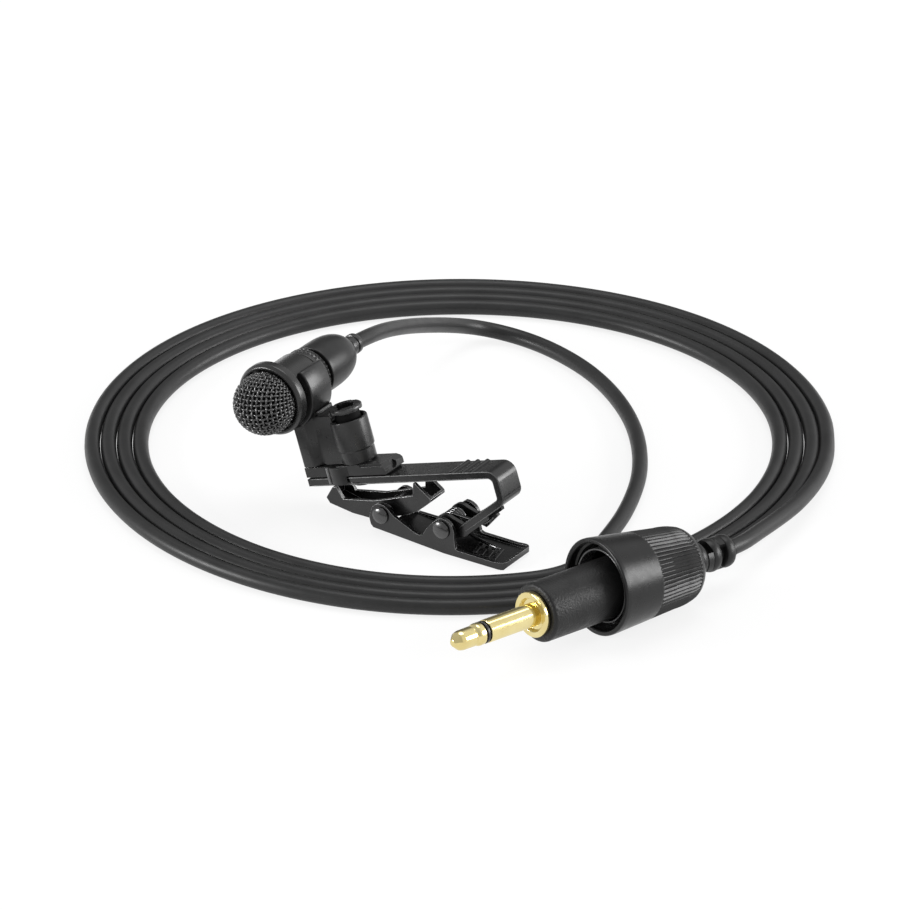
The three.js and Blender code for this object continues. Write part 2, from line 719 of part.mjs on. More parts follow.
// Screw-locking collar: a smooth band, then fine straight ribs to a domed rear end.
function lockingCollar() {
  const outer = (d) => (d < 13.7 ? 7.43 - 0.1 * d : 6.06 - 0.052 * (d - 13.7) ** 2);
  const ribStart = 7.6;
  const ribEnd = 16.1;
  const band = [[6.75, 0], [7.3, 0.3], [outer(0.9), 0.9], [outer(7.4), 7.4]];
  const ribbed = [ribStart, 13.7, 15.4, ribEnd].map((d) => [outer(d), d]);
  const end = [[4.9, 17.1], [4.3, COLLAR_LENGTH], [3.5, COLLAR_LENGTH]];
  const inside = [[3.5, 16.5], [5.4, 14.3], [5.4, 3.6], [6.0, 3.4], [6.45, 0.5]];
  const geometry = turned([...band, ...ribbed, ...end, ...inside], 2 * COLLAR_RIBS);
  const position = geometry.attributes.position;
  const innerWall = 5.5;
  for (let i = 0; i < position.count; i++) {
    const [x, d, z] = [position.getX(i), position.getY(i), position.getZ(i)];
    const radius = Math.hypot(x, z);
    const segment = Math.round((Math.atan2(z, x) / Math.PI) * COLLAR_RIBS);
    if (radius < innerWall || d < ribStart - 0.01 || d > ribEnd + 0.01 || segment % 2 === 0) continue;
    const shrink = (radius - COLLAR_RIB_HEIGHT) / radius;
    position.setXYZ(i, x * shrink, d, z * shrink);
  }
  return geometry;
}

// Ringed strain relief: three discs on a soft core.
function strainRelief() {
  const length = RELIEF_START.distanceTo(RELIEF_END);
  const core = 1.6;
  const disc = 1.5;
  const pitch = 2.35;
  const first = 1.6;
  const discs = [0, 1, 2].flatMap((i) => {
    const front = first + pitch * i;
    const radius = RELIEF_RADIUS - 0.07 * i;
    return [
      [core, front],
      [radius - 0.25, front],
      [radius, front + disc / 2],
      [radius - 0.25, front + disc],
      [core, front + disc],
    ];
  });
  return turned([[0, -1.6], [core, -1.6], ...discs, [core, length], [0, length]], 18);
}

function buildPlug() {
  const plug = group(PLUG_MOUTH, PLUG_AXIS);
  add(plug, "plug_tip", plugTip(), GOLD);
  add(plug, "tip_insulator", tipInsulator(), BLACK_PLASTIC);
  add(plug, "plug_sleeve", plugSleeve(), GOLD);
  add(plug, "plug_barrel", plugBarrel(), BLACK_PLASTIC);

  const collar = group(COLLAR_MOUTH, COLLAR_AXIS);
  add(collar, "locking_collar", lockingCollar(), BLACK_METAL);

  const reliefAxis = RELIEF_END.clone().sub(RELIEF_START).normalize();
  const relief = group(RELIEF_START, reliefAxis);
  add(relief, "plug_strain_relief", strainRelief(), BLACK_RUBBER);
}

// ---------------------------------------------------------------- cable

// Radius of the hand-laid spiral at an angle, after TURN turns: not quite round, with two and three lobes.
function coilRadius(angle, turn) {
  const oval = 0.78 * Math.cos(2 * (angle - THREE.MathUtils.degToRad(40)));
  const lobes = 0.3 * Math.cos(3 * (angle - THREE.MathUtils.degToRad(63)));
  return COIL_START_RADIUS + oval + lobes + COIL_PITCH * turn;
}

// Points along the coil's edge over one turn, offset from the strand that starts after START turns.
function coilEdge(from, to, start, offset) {
  const count = Math.round(((to - from) * 2 * Math.PI) / COIL_STEP);
  return Array.from({ length: count + 1 }, (_, i) => {
    const turn = from + ((to - from) * i) / count;
    const angle = COIL_START_ANGLE - 2 * Math.PI * turn;
    const radius = coilRadius(angle, start + turn) + offset;
    return [COIL_CENTRE.x + radius * Math.cos(angle), COIL_CENTRE.y + radius * Math.sin(angle)];
  });
}

// The coil's strands lie in one layer; its solid is the band that they fill.
function cordCoil() {
  const whole = Math.floor(COIL_TURNS);
  const rest = COIL_TURNS - whole;
  const outerEdge = [
    ...coilEdge(0, rest, whole, CORD_RADIUS),
    ...coilEdge(rest, 1, whole - 1, CORD_RADIUS).slice(0, -1),
  ];
  const innerEdge = coilEdge(0, 1, 0, -CORD_RADIUS);
  const disc = slab(outerEdge, 0, 2 * CORD_RADIUS);
  const middle = slab(innerEdge, -1, 2 * CORD_RADIUS + 1);
  const clearance = CORD_RADIUS + GAP;
  const leadEnd = cable(LEAD_ROUTE.slice(-5), clearance, 8, 10);
  const tailStart = cable(TAIL_ROUTE.slice(0, 7), clearance, 8, 12);
  const collarRoom = [[0, 8], [6.95, 8], [6.4, 13.7], [6.2, 15.4], [5.95, 16.6], [5.2, 17.8], [0, 17.8]];
  const besideCollar = turned(collarRoom)
    .applyQuaternion(new THREE.Quaternion().setFromUnitVectors(new THREE.Vector3(0, 1, 0), COLLAR_AXIS))
    .translate(...COLLAR_MOUTH);
  return cut(disc, middle, leadEnd, tailStart, besideCollar);
}

function buildCable() {
  add(model, "cord_lead", cable(LEAD_ROUTE, CORD_RADIUS, 8, 34), BLACK_RUBBER);
  add(model, "cord_coil", cordCoil(), BLACK_RUBBER);
  add(model, "cord_tail", cable(TAIL_ROUTE, CORD_RADIUS, 8, 12), BLACK_RUBBER);
}

// ---------------------------------------------------------------- whole object

buildMicrophone();
buildClip();
buildPlug();
buildCable();

export default model;
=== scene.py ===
"""Fine shapes, finishes, cable, floor, light and camera for the parts of a lavalier microphone.

Sizes in the classes are millimetres, as on a drawing. The cable's route and all meshes are metres.
"""

import logging
import math
from dataclasses import dataclass
from enum import Enum
from typing import Callable, Optional, Sequence

import bmesh
import bpy
import numpy as np
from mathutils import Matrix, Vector


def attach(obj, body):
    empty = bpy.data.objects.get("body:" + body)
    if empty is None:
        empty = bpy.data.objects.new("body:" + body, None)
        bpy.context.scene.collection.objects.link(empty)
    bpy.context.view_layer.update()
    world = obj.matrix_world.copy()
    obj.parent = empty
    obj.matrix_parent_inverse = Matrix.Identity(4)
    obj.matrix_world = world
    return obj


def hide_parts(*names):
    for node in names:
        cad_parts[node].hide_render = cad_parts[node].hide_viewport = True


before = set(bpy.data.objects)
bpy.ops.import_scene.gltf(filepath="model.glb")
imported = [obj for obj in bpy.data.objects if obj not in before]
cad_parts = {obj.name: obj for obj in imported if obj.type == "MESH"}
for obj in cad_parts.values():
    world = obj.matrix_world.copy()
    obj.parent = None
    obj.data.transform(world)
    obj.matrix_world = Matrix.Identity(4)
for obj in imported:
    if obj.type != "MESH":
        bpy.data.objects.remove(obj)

Array = np.ndarray
Span = tuple[float, float]
Block = tuple[Span, Span, float]
Point = tuple[float, float, float]
Outline = Sequence[Point]
Ripple = Callable[[Array, Array, Array], Array]
Socket = bpy.types.NodeSocket
Piece = bpy.types.Object

MM = 0.001
ARC = 5  # chords in a rounded corner
PLUG_AXIS: Point = (0.2788, 0.9602, -0.0399)
log = logging.getLogger("lavalier")


# ---------------------------------------------------------------- finishes


class Slot(Enum):
    """The record's material slots."""

    PLASTIC = "black_plastic"
    METAL = "black_metal"
    GRILLE = "grille_mesh"
    FOAM = "foam"
    RUBBER = "black_rubber"
    STEEL = "steel"
    GOLD = "gold"


class Nodes:
    """A node tree, with short calls that add and join nodes."""

    def __init__(self, tree: bpy.types.NodeTree) -> None:
        """Takes the tree."""
        self.tree = tree

    def fill(self, node: bpy.types.Node, values: dict) -> None:
        """Joins the values that are sockets to a node's inputs, and sets the others.

        Args:
            node: the node.
            values: what goes into its inputs, by their names or numbers.
        """
        for key, value in values.items():
            if isinstance(value, Socket):
                self.tree.links.new(value, node.inputs[key])
            else:
                node.inputs[key].default_value = value

    def add(
        self, kind: str, values: Optional[dict] = None, output: int | str = 0, **settings: object
    ) -> Socket:
        """Adds a node.

        Args:
            kind: its type.
            values: what goes into its inputs.
            output: the output that is wanted.
            settings: its own properties.

        Returns:
            That output.
        """
        node = self.tree.nodes.new(kind)
        for key, value in settings.items():
            setattr(node, key, value)
        self.fill(node, values or {})
        return node.outputs[output]

    def combine(self, operation: str, first: Socket, second: object) -> Socket:
        """Two values joined by an operation."""
        return self.add("ShaderNodeMath", {0: first, 1: second}, operation=operation)

    def stretched(self, value: Socket, old: Span, new: Span, **settings: object) -> Socket:
        """A value with the range OLD stretched to the range NEW."""
        ends = {"From Min": old[0], "From Max": old[1], "To Min": new[0], "To Max": new[1]}
        return self.add("ShaderNodeMapRange", {"Value": value, **ends}, **settings)

    def seen_directly(self) -> Socket:
        """Tells what is seen from what lights the object.

        Returns:
            1 for camera, glossy and transmission rays, and 0 for the rest.
        """
        rays = self.tree.nodes.new("ShaderNodeLightPath").outputs
        either = self.combine("MAXIMUM", rays["Is Camera Ray"], rays["Is Glossy Ray"])
        return self.combine("MAXIMUM", either, rays["Is Transmission Ray"])


class NodeSheet(Nodes):
    """A new material's nodes."""

    noise_span: Span = (0.3, 0.7)

    def __init__(self, name: str) -> None:
        """Makes the material and finds its shader.

        Args:
            name: the material's name.
        """
        self.material = bpy.data.materials.new(name)
        self.material.use_nodes = True
        super().__init__(self.material.node_tree)
        self.shader = self.tree.nodes["Principled BSDF"]
        self.place = self.add("ShaderNodeTexCoord", output="Object")

    def noise(self, size: float, detail: float, place: Optional[Socket] = None) -> Socket:
        """Noise with features of a size in millimetres, at the object's place or at another."""
        values = {"Vector": place or self.place, "Scale": 1 / (size * MM), "Detail": detail}
        return self.add("ShaderNodeTexNoise", values, "Fac")

    def blend(self, factor: Socket, first: Point, second: Point) -> Socket:
        """A colour between two, by a factor."""
        values = {0: factor, 6: (*first, 1), 7: (*second, 1)}
        return self.add("ShaderNodeMix", values, 2, data_type="RGBA")

    def bump(self, height: Socket, depth: float, under: Optional[Socket] = None) -> Socket:
        """A normal raised by a height from 0 to 1 times a depth in millimetres, over another."""
        values = {"Strength": 1.0, "Distance": depth * MM, "Height": height}
        return self.add("ShaderNodeBump", values | ({"Normal": under} if under else {}))


@dataclass(frozen=True)
class Finish:
    """A surface with mottled colour, uneven gloss and a fine grain. Sizes are millimetres."""

    name: str
    slot: Slot
    colour: Point
    rubbed: Point
    roughness: Span
    specular: float = 0.5
    grain_depth: float = 0.006
    grain_size: float = 0.16
    mottle_size: float = 3.0
    smudge: float = 0.37
    metallic: float = 0.0

    def material(self) -> bpy.types.Material:
        """The finish as a material, made once."""
        return bpy.data.materials.get(self.name) or self.sheet().material

    def sheet(self) -> NodeSheet:
        """Builds the nodes: two scales of noise for colour and gloss, and a grain in the normal.

        Returns:
            The material's sheet.
        """
        sheet = NodeSheet(self.name)
        mottle = sheet.stretched(sheet.noise(self.mottle_size, detail=4), sheet.noise_span, (0, 1))
        smudge = sheet.noise(self.mottle_size * self.smudge, detail=2)
        values = {
            "Base Color": sheet.blend(mottle, self.colour, self.rubbed),
            "Roughness": sheet.stretched(smudge, sheet.noise_span, self.roughness),
            "Normal": sheet.bump(sheet.noise(self.grain_size, detail=2), self.grain_depth),
            "Metallic": self.metallic,
            "Specular IOR Level": self.specular,
        }
        sheet.fill(sheet.shader, values)
        return sheet


@dataclass(frozen=True)
class TurnedFinish(Finish):
    """A plated, lathe-turned surface: fine rings round an axis over the grain."""

    axis: Point = (0.0, 1.0, 0.0)
    ring_size: float = 0.09
    ring_depth: float = 0.0012
    ring_stretch: float = 0.002

    def sheet(self) -> NodeSheet:
        """Adds rings, as noise stretched square to the axis, to the plain finish.

        Returns:
            The material's sheet.
        """
        sheet = super().sheet()
        turn = Vector(self.axis).to_track_quat("X", "Z").to_matrix().inverted().to_euler()
        scale = (1.0, self.ring_stretch, self.ring_stretch)
        values = {"Vector": sheet.place, "Rotation": turn, "Scale": scale}
        rings = sheet.noise(self.ring_size, 2, sheet.add("ShaderNodeMapping", values))
        under = sheet.shader.inputs["Normal"].links[0].from_socket
        sheet.fill(sheet.shader, {"Normal": sheet.bump(rings, self.ring_depth, under)})
        return sheet


def dark(level: float) -> Point:
    """A black or grey, with a touch more blue than red and green."""
    return level, level, 1.012 * level


MOULDED = Finish("moulded_black", Slot.PLASTIC, dark(0.010), dark(0.016), (0.3, 0.38), 0.32)
HOLDER_MOULDED = Finish(
    "holder_black", Slot.PLASTIC, dark(0.009), dark(0.016), (0.26, 0.34), 0.44, grain_depth=0.002
)
# A grey far lighter than the holder's black, used on the foot's bevels and on the boss's edge rod:
# a painted highlight.
HOLDER_EDGE_HIGHLIGHT = Finish(
    "holder_edge_highlight", Slot.PLASTIC, dark(0.08), dark(0.16), (0.22, 0.3), 0.8, grain_depth=0.002
)
# Flat black that paints shade: the pad in the gap under the foot stands for the shadow there, and
# the collet's neck stands for the shade under its lip.
PAINTED_SHADE_BLACK = Finish("painted_shade_black", Slot.PLASTIC, dark(0.003), dark(0.005), (0.7, 0.85), 0.12)
INSERT_BLACK = Finish(
    "insert_black", Slot.PLASTIC, dark(0.006), dark(0.014), (0.38, 0.5), 0.3, grain_depth=0.09,
    grain_size=0.3,
)
COLLAR_BLACK = Finish(
    "collar_black", Slot.METAL, dark(0.007), dark(0.010), (0.26, 0.34), 0.3, grain_depth=0.004
)
# A grey lighter than the collar's black, used on the inner lip: a painted highlight arc inside the
# mouth.
COLLAR_LIP_HIGHLIGHT = Finish(
    "collar_lip_highlight", Slot.METAL, dark(0.035), dark(0.065), (0.24, 0.34), 0.6, grain_depth=0.002
)
HOUSING_BLACK = Finish(
    "housing_black", Slot.METAL, dark(0.012), dark(0.017), (0.22, 0.3), 0.5, grain_depth=0.0015
)
COATED = Finish(
    "coated_steel", Slot.METAL, dark(0.004), dark(0.009), (0.2, 0.28), 0.56, grain_depth=0.001
)
# Light grey on the black coat's bevels: a painted highlight along the edges of the strap, lever and
# jaw.
COATED_EDGE_HIGHLIGHT = Finish(
    "coated_steel_edge_highlight", Slot.METAL, dark(0.22), dark(0.4), (0.14, 0.22), 1.0, grain_depth=0.001
)
# Lighter than the strap's coat, used on the beads along its edges: a painted highlight.
EDGE_HIGHLIGHT_BLACK = Finish(
    "edge_highlight_black", Slot.METAL, dark(0.02), dark(0.035), (0.4, 0.5), 0.5, grain_depth=0.001
)
WORN_BLACK = Finish(
    "worn_black", Slot.METAL, dark(0.012), dark(0.024), (0.24, 0.32), 0.6, grain_depth=0.001
)
RIVET_BLACK = Finish(
    "rivet_black", Slot.METAL, dark(0.008), dark(0.014), (0.22, 0.28), 1.0, grain_depth=0.0006
)
WIRE_BLACK = Finish(
    "wire_black", Slot.GRILLE, dark(0.016), dark(0.03), (0.2, 0.3), 0.9, grain_depth=0.001
)
FOAM_BLACK = Finish(
    "foam_black", Slot.FOAM, dark(0.003), dark(0.006), (0.85, 1.0), 0.1, grain_depth=0.12,
    grain_size=0.25,
)
CABLE_BLACK = Finish(
    "cable_black", Slot.RUBBER, dark(0.013), dark(0.02), (0.36, 0.44), 0.32, grain_depth=0.004,
    mottle_size=6.0,
)
RUBBER_BLACK = Finish(
    "rubber_black", Slot.RUBBER, dark(0.016), dark(0.03), (0.24, 0.32), 0.45, grain_depth=0.004
)
RELIEF_BLACK = Finish(
    "relief_black", Slot.RUBBER, dark(0.005), dark(0.009), (0.34, 0.42), 0.34, grain_depth=0.003
)
SPRING_STEEL = Finish(
    "spring_steel", Slot.STEEL, dark(0.09), dark(0.17), (0.14, 0.22), grain_depth=0.001,
    metallic=1.0,
)
NICKEL = Finish(
    "nickel_can", Slot.STEEL, (0.5, 0.5, 0.49), (0.58, 0.58, 0.57), (0.25, 0.35), metallic=1.0
)
GOLD = TurnedFinish(
    "gold_plate", Slot.GOLD, (0.83, 0.72, 0.37), (0.69, 0.56, 0.23), (0.1, 0.17),
    grain_depth=0.0006, mottle_size=5.0, metallic=1.0, axis=PLUG_AXIS,
)


# ---------------------------------------------------------------- shapes


def unit(vectors: Array) -> Array:
    """Each vector divided by its length."""
    return vectors / np.maximum(np.linalg.norm(vectors, axis=-1, keepdims=True), 1e-12)


def ray(angle: Array) -> Array:
    """Unit vectors in a plane at angles, one in each row."""
    return np.stack([np.cos(angle), np.sin(angle)], -1)


def spun(outline: Array, degrees: float) -> Array:
    """An outline turned anticlockwise about its origin."""
    side = ray(np.radians(degrees))
    return outline @ np.array([side, [-side[1], side[0]]])


def faded(along: Array, span: Span, fade: float) -> Array:
    """1 inside a span and 0 outside, with a straight slope of a length inside each of its ends."""
    start, end = span
    return np.clip((along - start) / fade, 0, 1) * np.clip((end - along) / fade, 0, 1)


def filleted(corners: Outline, steps: int = ARC) -> Array:
    """A closed outline with its corners rounded.

    The arc at a corner has its centre on the corner's bisector, radius over the sine of half the
    corner's angle away, and turns the first radius vector through the rest of the half turn. No arc
    takes over half a side.

    Args:
        corners: each corner's place, and the radius of its arc, which is 0 for a sharp corner.
        steps: how many chords an arc has.

    Returns:
        The points, steps + 1 for each corner.
    """
    table = np.asarray(corners, float)
    corner, wanted = table[:, :2], table[:, 2]
    back, ahead = np.roll(corner, 1, 0) - corner, np.roll(corner, -1, 0) - corner
    shorter = np.minimum(np.linalg.norm(back, axis=1), np.linalg.norm(ahead, axis=1))
    back, ahead = unit(back), unit(ahead)
    half = np.arccos(np.clip((back * ahead).sum(1), -1, 1)) / 2
    half = np.clip(half, 0.02, math.pi / 2 - 1e-4)
    reach = np.minimum(wanted / np.tan(half), 0.49 * shorter)
    radius = reach * np.tan(half)
    centre = corner + unit(back + ahead) * (radius / np.sin(half))[:, None]
    first = corner + back * reach[:, None] - centre
    last = corner + ahead * reach[:, None] - centre
    side = np.sign(first[:, 0] * last[:, 1] - first[:, 1] * last[:, 0])
    angle = (side * (math.pi - 2 * half))[:, None] * np.linspace(0, 1, steps + 1)
    cos, sin = np.cos(angle), np.sin(angle)
    x = centre[:, :1] + first[:, :1] * cos - first[:, 1:] * sin
    y = centre[:, 1:] + first[:, :1] * sin + first[:, 1:] * cos
    return np.stack([x, y], -1).reshape(-1, 2)


def rectangle(low: Span, high: Span, radius: float) -> Array:
    """A rectangle between two opposite corners, rounded."""
    (x, y), (right, top) = low, high
    return filleted([(x, y, radius), (right, y, radius), (right, top, radius), (x, top, radius)])


def refined(profile: Array, longest: float) -> Array:
    """Cuts each side of a closed profile into equal parts.

    Args:
        profile: its points.
        longest: the length that no part goes over.

    Returns:
        The points of the finer profile.
    """
    length = np.linalg.norm(np.roll(profile, -1, 0) - profile, axis=1)
    travelled = np.concatenate([[0], np.cumsum(length)])
    parts = np.maximum(np.ceil(length / longest).astype(int), 1)
    start = np.repeat(np.arange(len(profile)), parts)
    share = (np.arange(len(start)) - np.repeat(np.cumsum(parts) - parts, parts)) / parts[start]
    along = travelled[start] + share * length[start]
    loop = np.vstack([profile, profile[:1]])
    return np.stack([np.interp(along, travelled, loop[:, axis]) for axis in (0, 1)], 1)


def smooth_line(points: Array, per_span: int) -> Array:
    """A centripetal Catmull-Rom curve through points.

    Between two points it blends straight runs by knots that are the roots of the chords apart.

    Args:
        points: the points that it passes through.
        per_span: how many steps there are between two of them.

    Returns:
        The curve's points.
    """
    knots = np.vstack([2 * points[0] - points[1], points, 2 * points[-1] - points[-2]])
    p0, p1, p2, p3 = (knots[i : len(knots) - 3 + i, None] for i in range(4))
    gaps = np.sqrt(np.linalg.norm(np.diff(knots, axis=0), axis=1))
    t1 = gaps[:-2, None, None]
    t2 = t1 + gaps[1:-1, None, None]
    t3 = t2 + gaps[2:, None, None]
    t = t1 + (t2 - t1) * np.linspace(0, 1, per_span, endpoint=False)[None, :, None]
    a1 = (t1 - t) / t1 * p0 + t / t1 * p1
    a2 = (t2 - t) / (t2 - t1) * p1 + (t - t1) / (t2 - t1) * p2
    a3 = (t3 - t) / (t3 - t2) * p2 + (t - t2) / (t3 - t2) * p3
    b1 = (t2 - t) / t2 * a1 + t / t2 * a2
    b2 = (t3 - t) / (t3 - t1) * a2 + (t - t1) / (t3 - t1) * a3
    spans = (t2 - t) / (t2 - t1) * b1 + (t - t1) / (t2 - t1) * b2
    return np.vstack([spans.reshape(-1, points.shape[1]), points[-1:]])


def evenly(line: Array, step: float) -> Array:
    """Spaces a line's points evenly.

    Args:
        line: the line's points.
        step: how far apart they come to lie, more or less.

    Returns:
        The new points.
    """
    travelled = np.concatenate([[0], np.cumsum(np.linalg.norm(np.diff(line, axis=0), axis=1))])
    marks = np.linspace(0, travelled[-1], round(travelled[-1] / step) + 1)
    return np.stack([np.interp(marks, travelled, column) for column in line.T], 1)


def relaxed(line: Array, passes: int) -> Array:
    """Takes small kinks out of a line.

    Args:
        line: the line's points.
        passes: how often each inner point becomes the mean of itself, twice, and its neighbours.

    Returns:
        The new points.
    """
    eased = line.copy()
    for _ in range(passes):
        eased[1:-1] = (eased[:-2] + 2 * eased[1:-1] + eased[2:]) / 4
    return eased


@dataclass(frozen=True)
class Place:
    """A piece's own frame: its origin, and which way its side, its length and its up point."""

    origin: Point
    side: Point = (1.0, 0.0, 0.0)
    along: Point = (0.0, 1.0, 0.0)
    up: Point = (0.0, 0.0, 1.0)

    @staticmethod
    def facing(origin: Point, along: Point) -> "Place":
        """A frame whose side stays level.

        Args:
            origin: its origin.
            along: where its length points.

        Returns:
            The frame.
        """
        length = Vector(along).normalized()
        side = length.cross(Vector((0, 0, 1))).normalized()
        return Place(origin, tuple(side), tuple(length), tuple(side.cross(length)))

    @staticmethod
    def tilted(origin: Point, degrees: float) -> "Place":
        """A frame whose side rises from +X by an angle, about Y."""
        cos, sin = math.cos(math.radians(degrees)), math.sin(math.radians(degrees))
        return Place(origin, (cos, 0, sin), (0, 1, 0), (-sin, 0, cos))

    def world(self, local: Array) -> Array:
        """Points given as side, along and up, in the shared frame."""
        return np.asarray(self.origin) + local @ np.array([self.side, self.along, self.up])


class Shell:
    """A mesh in the making, in millimetres: grids of points, joined into one piece at the end."""

    rim_swing = np.radians([0, 25, 55, 90])
    end_rounding = np.array([0, 0.6, 0.9, 1.0])
    merge: float = 2e-7
    sliver: float = 1e-8

    def __init__(self, place: Place) -> None:
        """Starts an empty mesh in a piece's own frame.

        Args:
            place: the frame.
        """
        self.place = place
        self.points: list[Array] = []
        self.faces: list[list[int]] = []
        self.count = 0

    def grid(
        self, points: Array, loop_rows: bool = False, loop_columns: bool = True
    ) -> "Shell":
        """Adds a surface over a grid, where neighbours in rows and columns share a face.

        Args:
            points: rows by columns by 3.
            loop_rows: whether the last row joins the first.
            loop_columns: whether the last column joins the first.

        Returns:
            The shell.
        """
        rows, columns = points.shape[:2]
        index = np.arange(rows * columns).reshape(rows, columns) + self.count
        down = np.roll(index, -1, 0) if loop_rows else index[1:]
        here = index if loop_rows else index[:-1]
        a, b = (here, down) if loop_columns else (here[:, :-1], down[:, :-1])
        c = np.roll(down, -1, 1) if loop_columns else down[:, 1:]
        d = np.roll(here, -1, 1) if loop_columns else here[:, 1:]
        self.faces += np.stack([a, b, c, d], -1).reshape(-1, 4).tolist()
        self.points.append(self.place.world(points.reshape(-1, 3)))
        self.count += rows * columns
        return self

    def turned(
        self,
        profile: Array,
        segments: int = 96,
        closed: bool = True,
        ripple: Optional[Ripple] = None,
    ) -> "Shell":
        """Adds a turned surface: each profile point runs round a circle about the length axis.

        Args:
            profile: points (radius, distance along the axis).
            segments: how many sides the circle has.
            closed: whether the profile is a loop; otherwise it starts and ends on the axis.
            ripple: the radius at an angle, a distance and a plain radius, if that isn't the one.

        Returns:
            The shell.
        """
        angle = np.linspace(0, 2 * math.pi, segments, endpoint=False)[None, :]
        radius, along = profile[:, :1], profile[:, 1:]
        if ripple:
            radius = ripple(angle, along, radius)
        side, up = radius * np.cos(angle), radius * np.sin(angle)
        return self.grid(np.stack([side, along + 0 * angle, up], -1), loop_rows=closed)

    def prism(
        self,
        outline: Array,
        low: float,
        high: float | Array,
        rounding: float,
        order: Sequence[int] = (0, 1, 2),
    ) -> "Shell":
        """Adds a straight bar over an outline, with rounded rims and flat ends.

        Along a rim the outline moves in by the rounding times one less the sine of the swing, and
        the level moves on by the rounding times one less its cosine.

        Args:
            outline: points of the bar's section, anticlockwise.
            low: where the bar starts.
            high: where it ends, for all points or for each.
            rounding: the rims' radius.
            order: which of section x, section y and level is the side, the length and the up.

        Returns:
            The shell.
        """
        run = unit(np.roll(outline, -1, 0) - np.roll(outline, 1, 0))
        outward = np.stack([run[:, 1], -run[:, 0]], 1)
        inset = rounding * (1 - np.sin(self.rim_swing))
        rise = (rounding * (1 - np.cos(self.rim_swing)))[:, None] + 0 * outline[:, 0]
        level = np.concatenate([low + rise, (high - rise)[::-1]])
        flat = outline[None] - outward[None] * np.concatenate([inset, inset[::-1]])[:, None, None]
        first, sides = self.count, len(outline)
        self.grid(np.dstack([flat, level])[:, :, list(order)])
        last = first + (len(level) - 1) * sides
        self.faces += [list(range(first, first + sides)), list(range(last, last + sides))]
        return self

    def tube(
        self, line: Array, radius: float, sides: int = 10, level: Point = (0.0, 1.0, 0.0)
    ) -> "Shell":
        """Adds a round wire: a circle square to the line at each point. Its ends are rounded.

        Args:
            line: the wire's centreline.
            radius: half its thickness.
            sides: how many sides the circle has.
            level: a direction that the line never points in, square to each first radius.

        Returns:
            The shell.
        """
        run = unit(np.gradient(line, axis=0))
        first = unit(np.cross(run, np.asarray(level)))
        angle = np.linspace(0, 2 * math.pi, sides, endpoint=False)[None, :, None]
        ring = np.cos(angle) * first[:, None] + np.sin(angle) * np.cross(run, first)[:, None]
        middle = np.ones(len(line) - 2 * len(self.end_rounding))
        size = np.concatenate([self.end_rounding, middle, self.end_rounding[::-1]])
        return self.grid(line[:, None] + ring * (radius * size)[:, None, None])

    def piece(
        self,
        name: str,
        finish: Finish,
        body: str,
        stands_for: Sequence[str] = (),
        sharp: float = 38,
    ) -> Piece:
        """Makes the mesh a piece of the object.

        Args:
            name: the piece's name.
            finish: its finish.
            body: the body that it moves with.
            stands_for: the CAD nodes that it replaces.
            sharp: edges that turn more than this many degrees stay sharp in the shading.

        Returns:
            The piece.
        """
        mesh = bpy.data.meshes.new(name)
        mesh.from_pydata((np.vstack(self.points) * MM).tolist(), [], self.faces)
        edit = bmesh.new()
        edit.from_mesh(mesh)
        bmesh.ops.remove_doubles(edit, verts=edit.verts, dist=self.merge)
        bmesh.ops.dissolve_degenerate(edit, edges=edit.edges, dist=self.sliver)
        bmesh.ops.recalc_face_normals(edit, faces=edit.faces)
        edit.to_mesh(mesh)
        edit.free()
        return settle(mesh, finish, body, stands_for, sharp)


def settle(
    mesh: bpy.types.Mesh, finish: Finish, body: str, stands_for: Sequence[str], sharp: float
) -> Piece:
    """Makes an object of a finished mesh, dresses it and puts it on its body.

    Args:
        mesh: the mesh, in the shared frame, with the piece's name.
        finish: its finish.
        body: the body that it moves with.
        stands_for: the CAD nodes that it replaces.
        sharp: edges that turn more than this many degrees stay sharp in the shading.

    Returns:
        The object.
    """
    mesh.materials.append(finish.material())
    mesh.shade_smooth()
    mesh.set_sharp_from_angle(angle=math.radians(sharp))
    made = bpy.data.objects.new(mesh.name, mesh)
    bpy.context.scene.collection.objects.link(made)
    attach(made, body)
    if stands_for:
        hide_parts(*stands_for)
    log.info("%s: %d faces on %s", mesh.name, len(mesh.polygons), body)
    return made


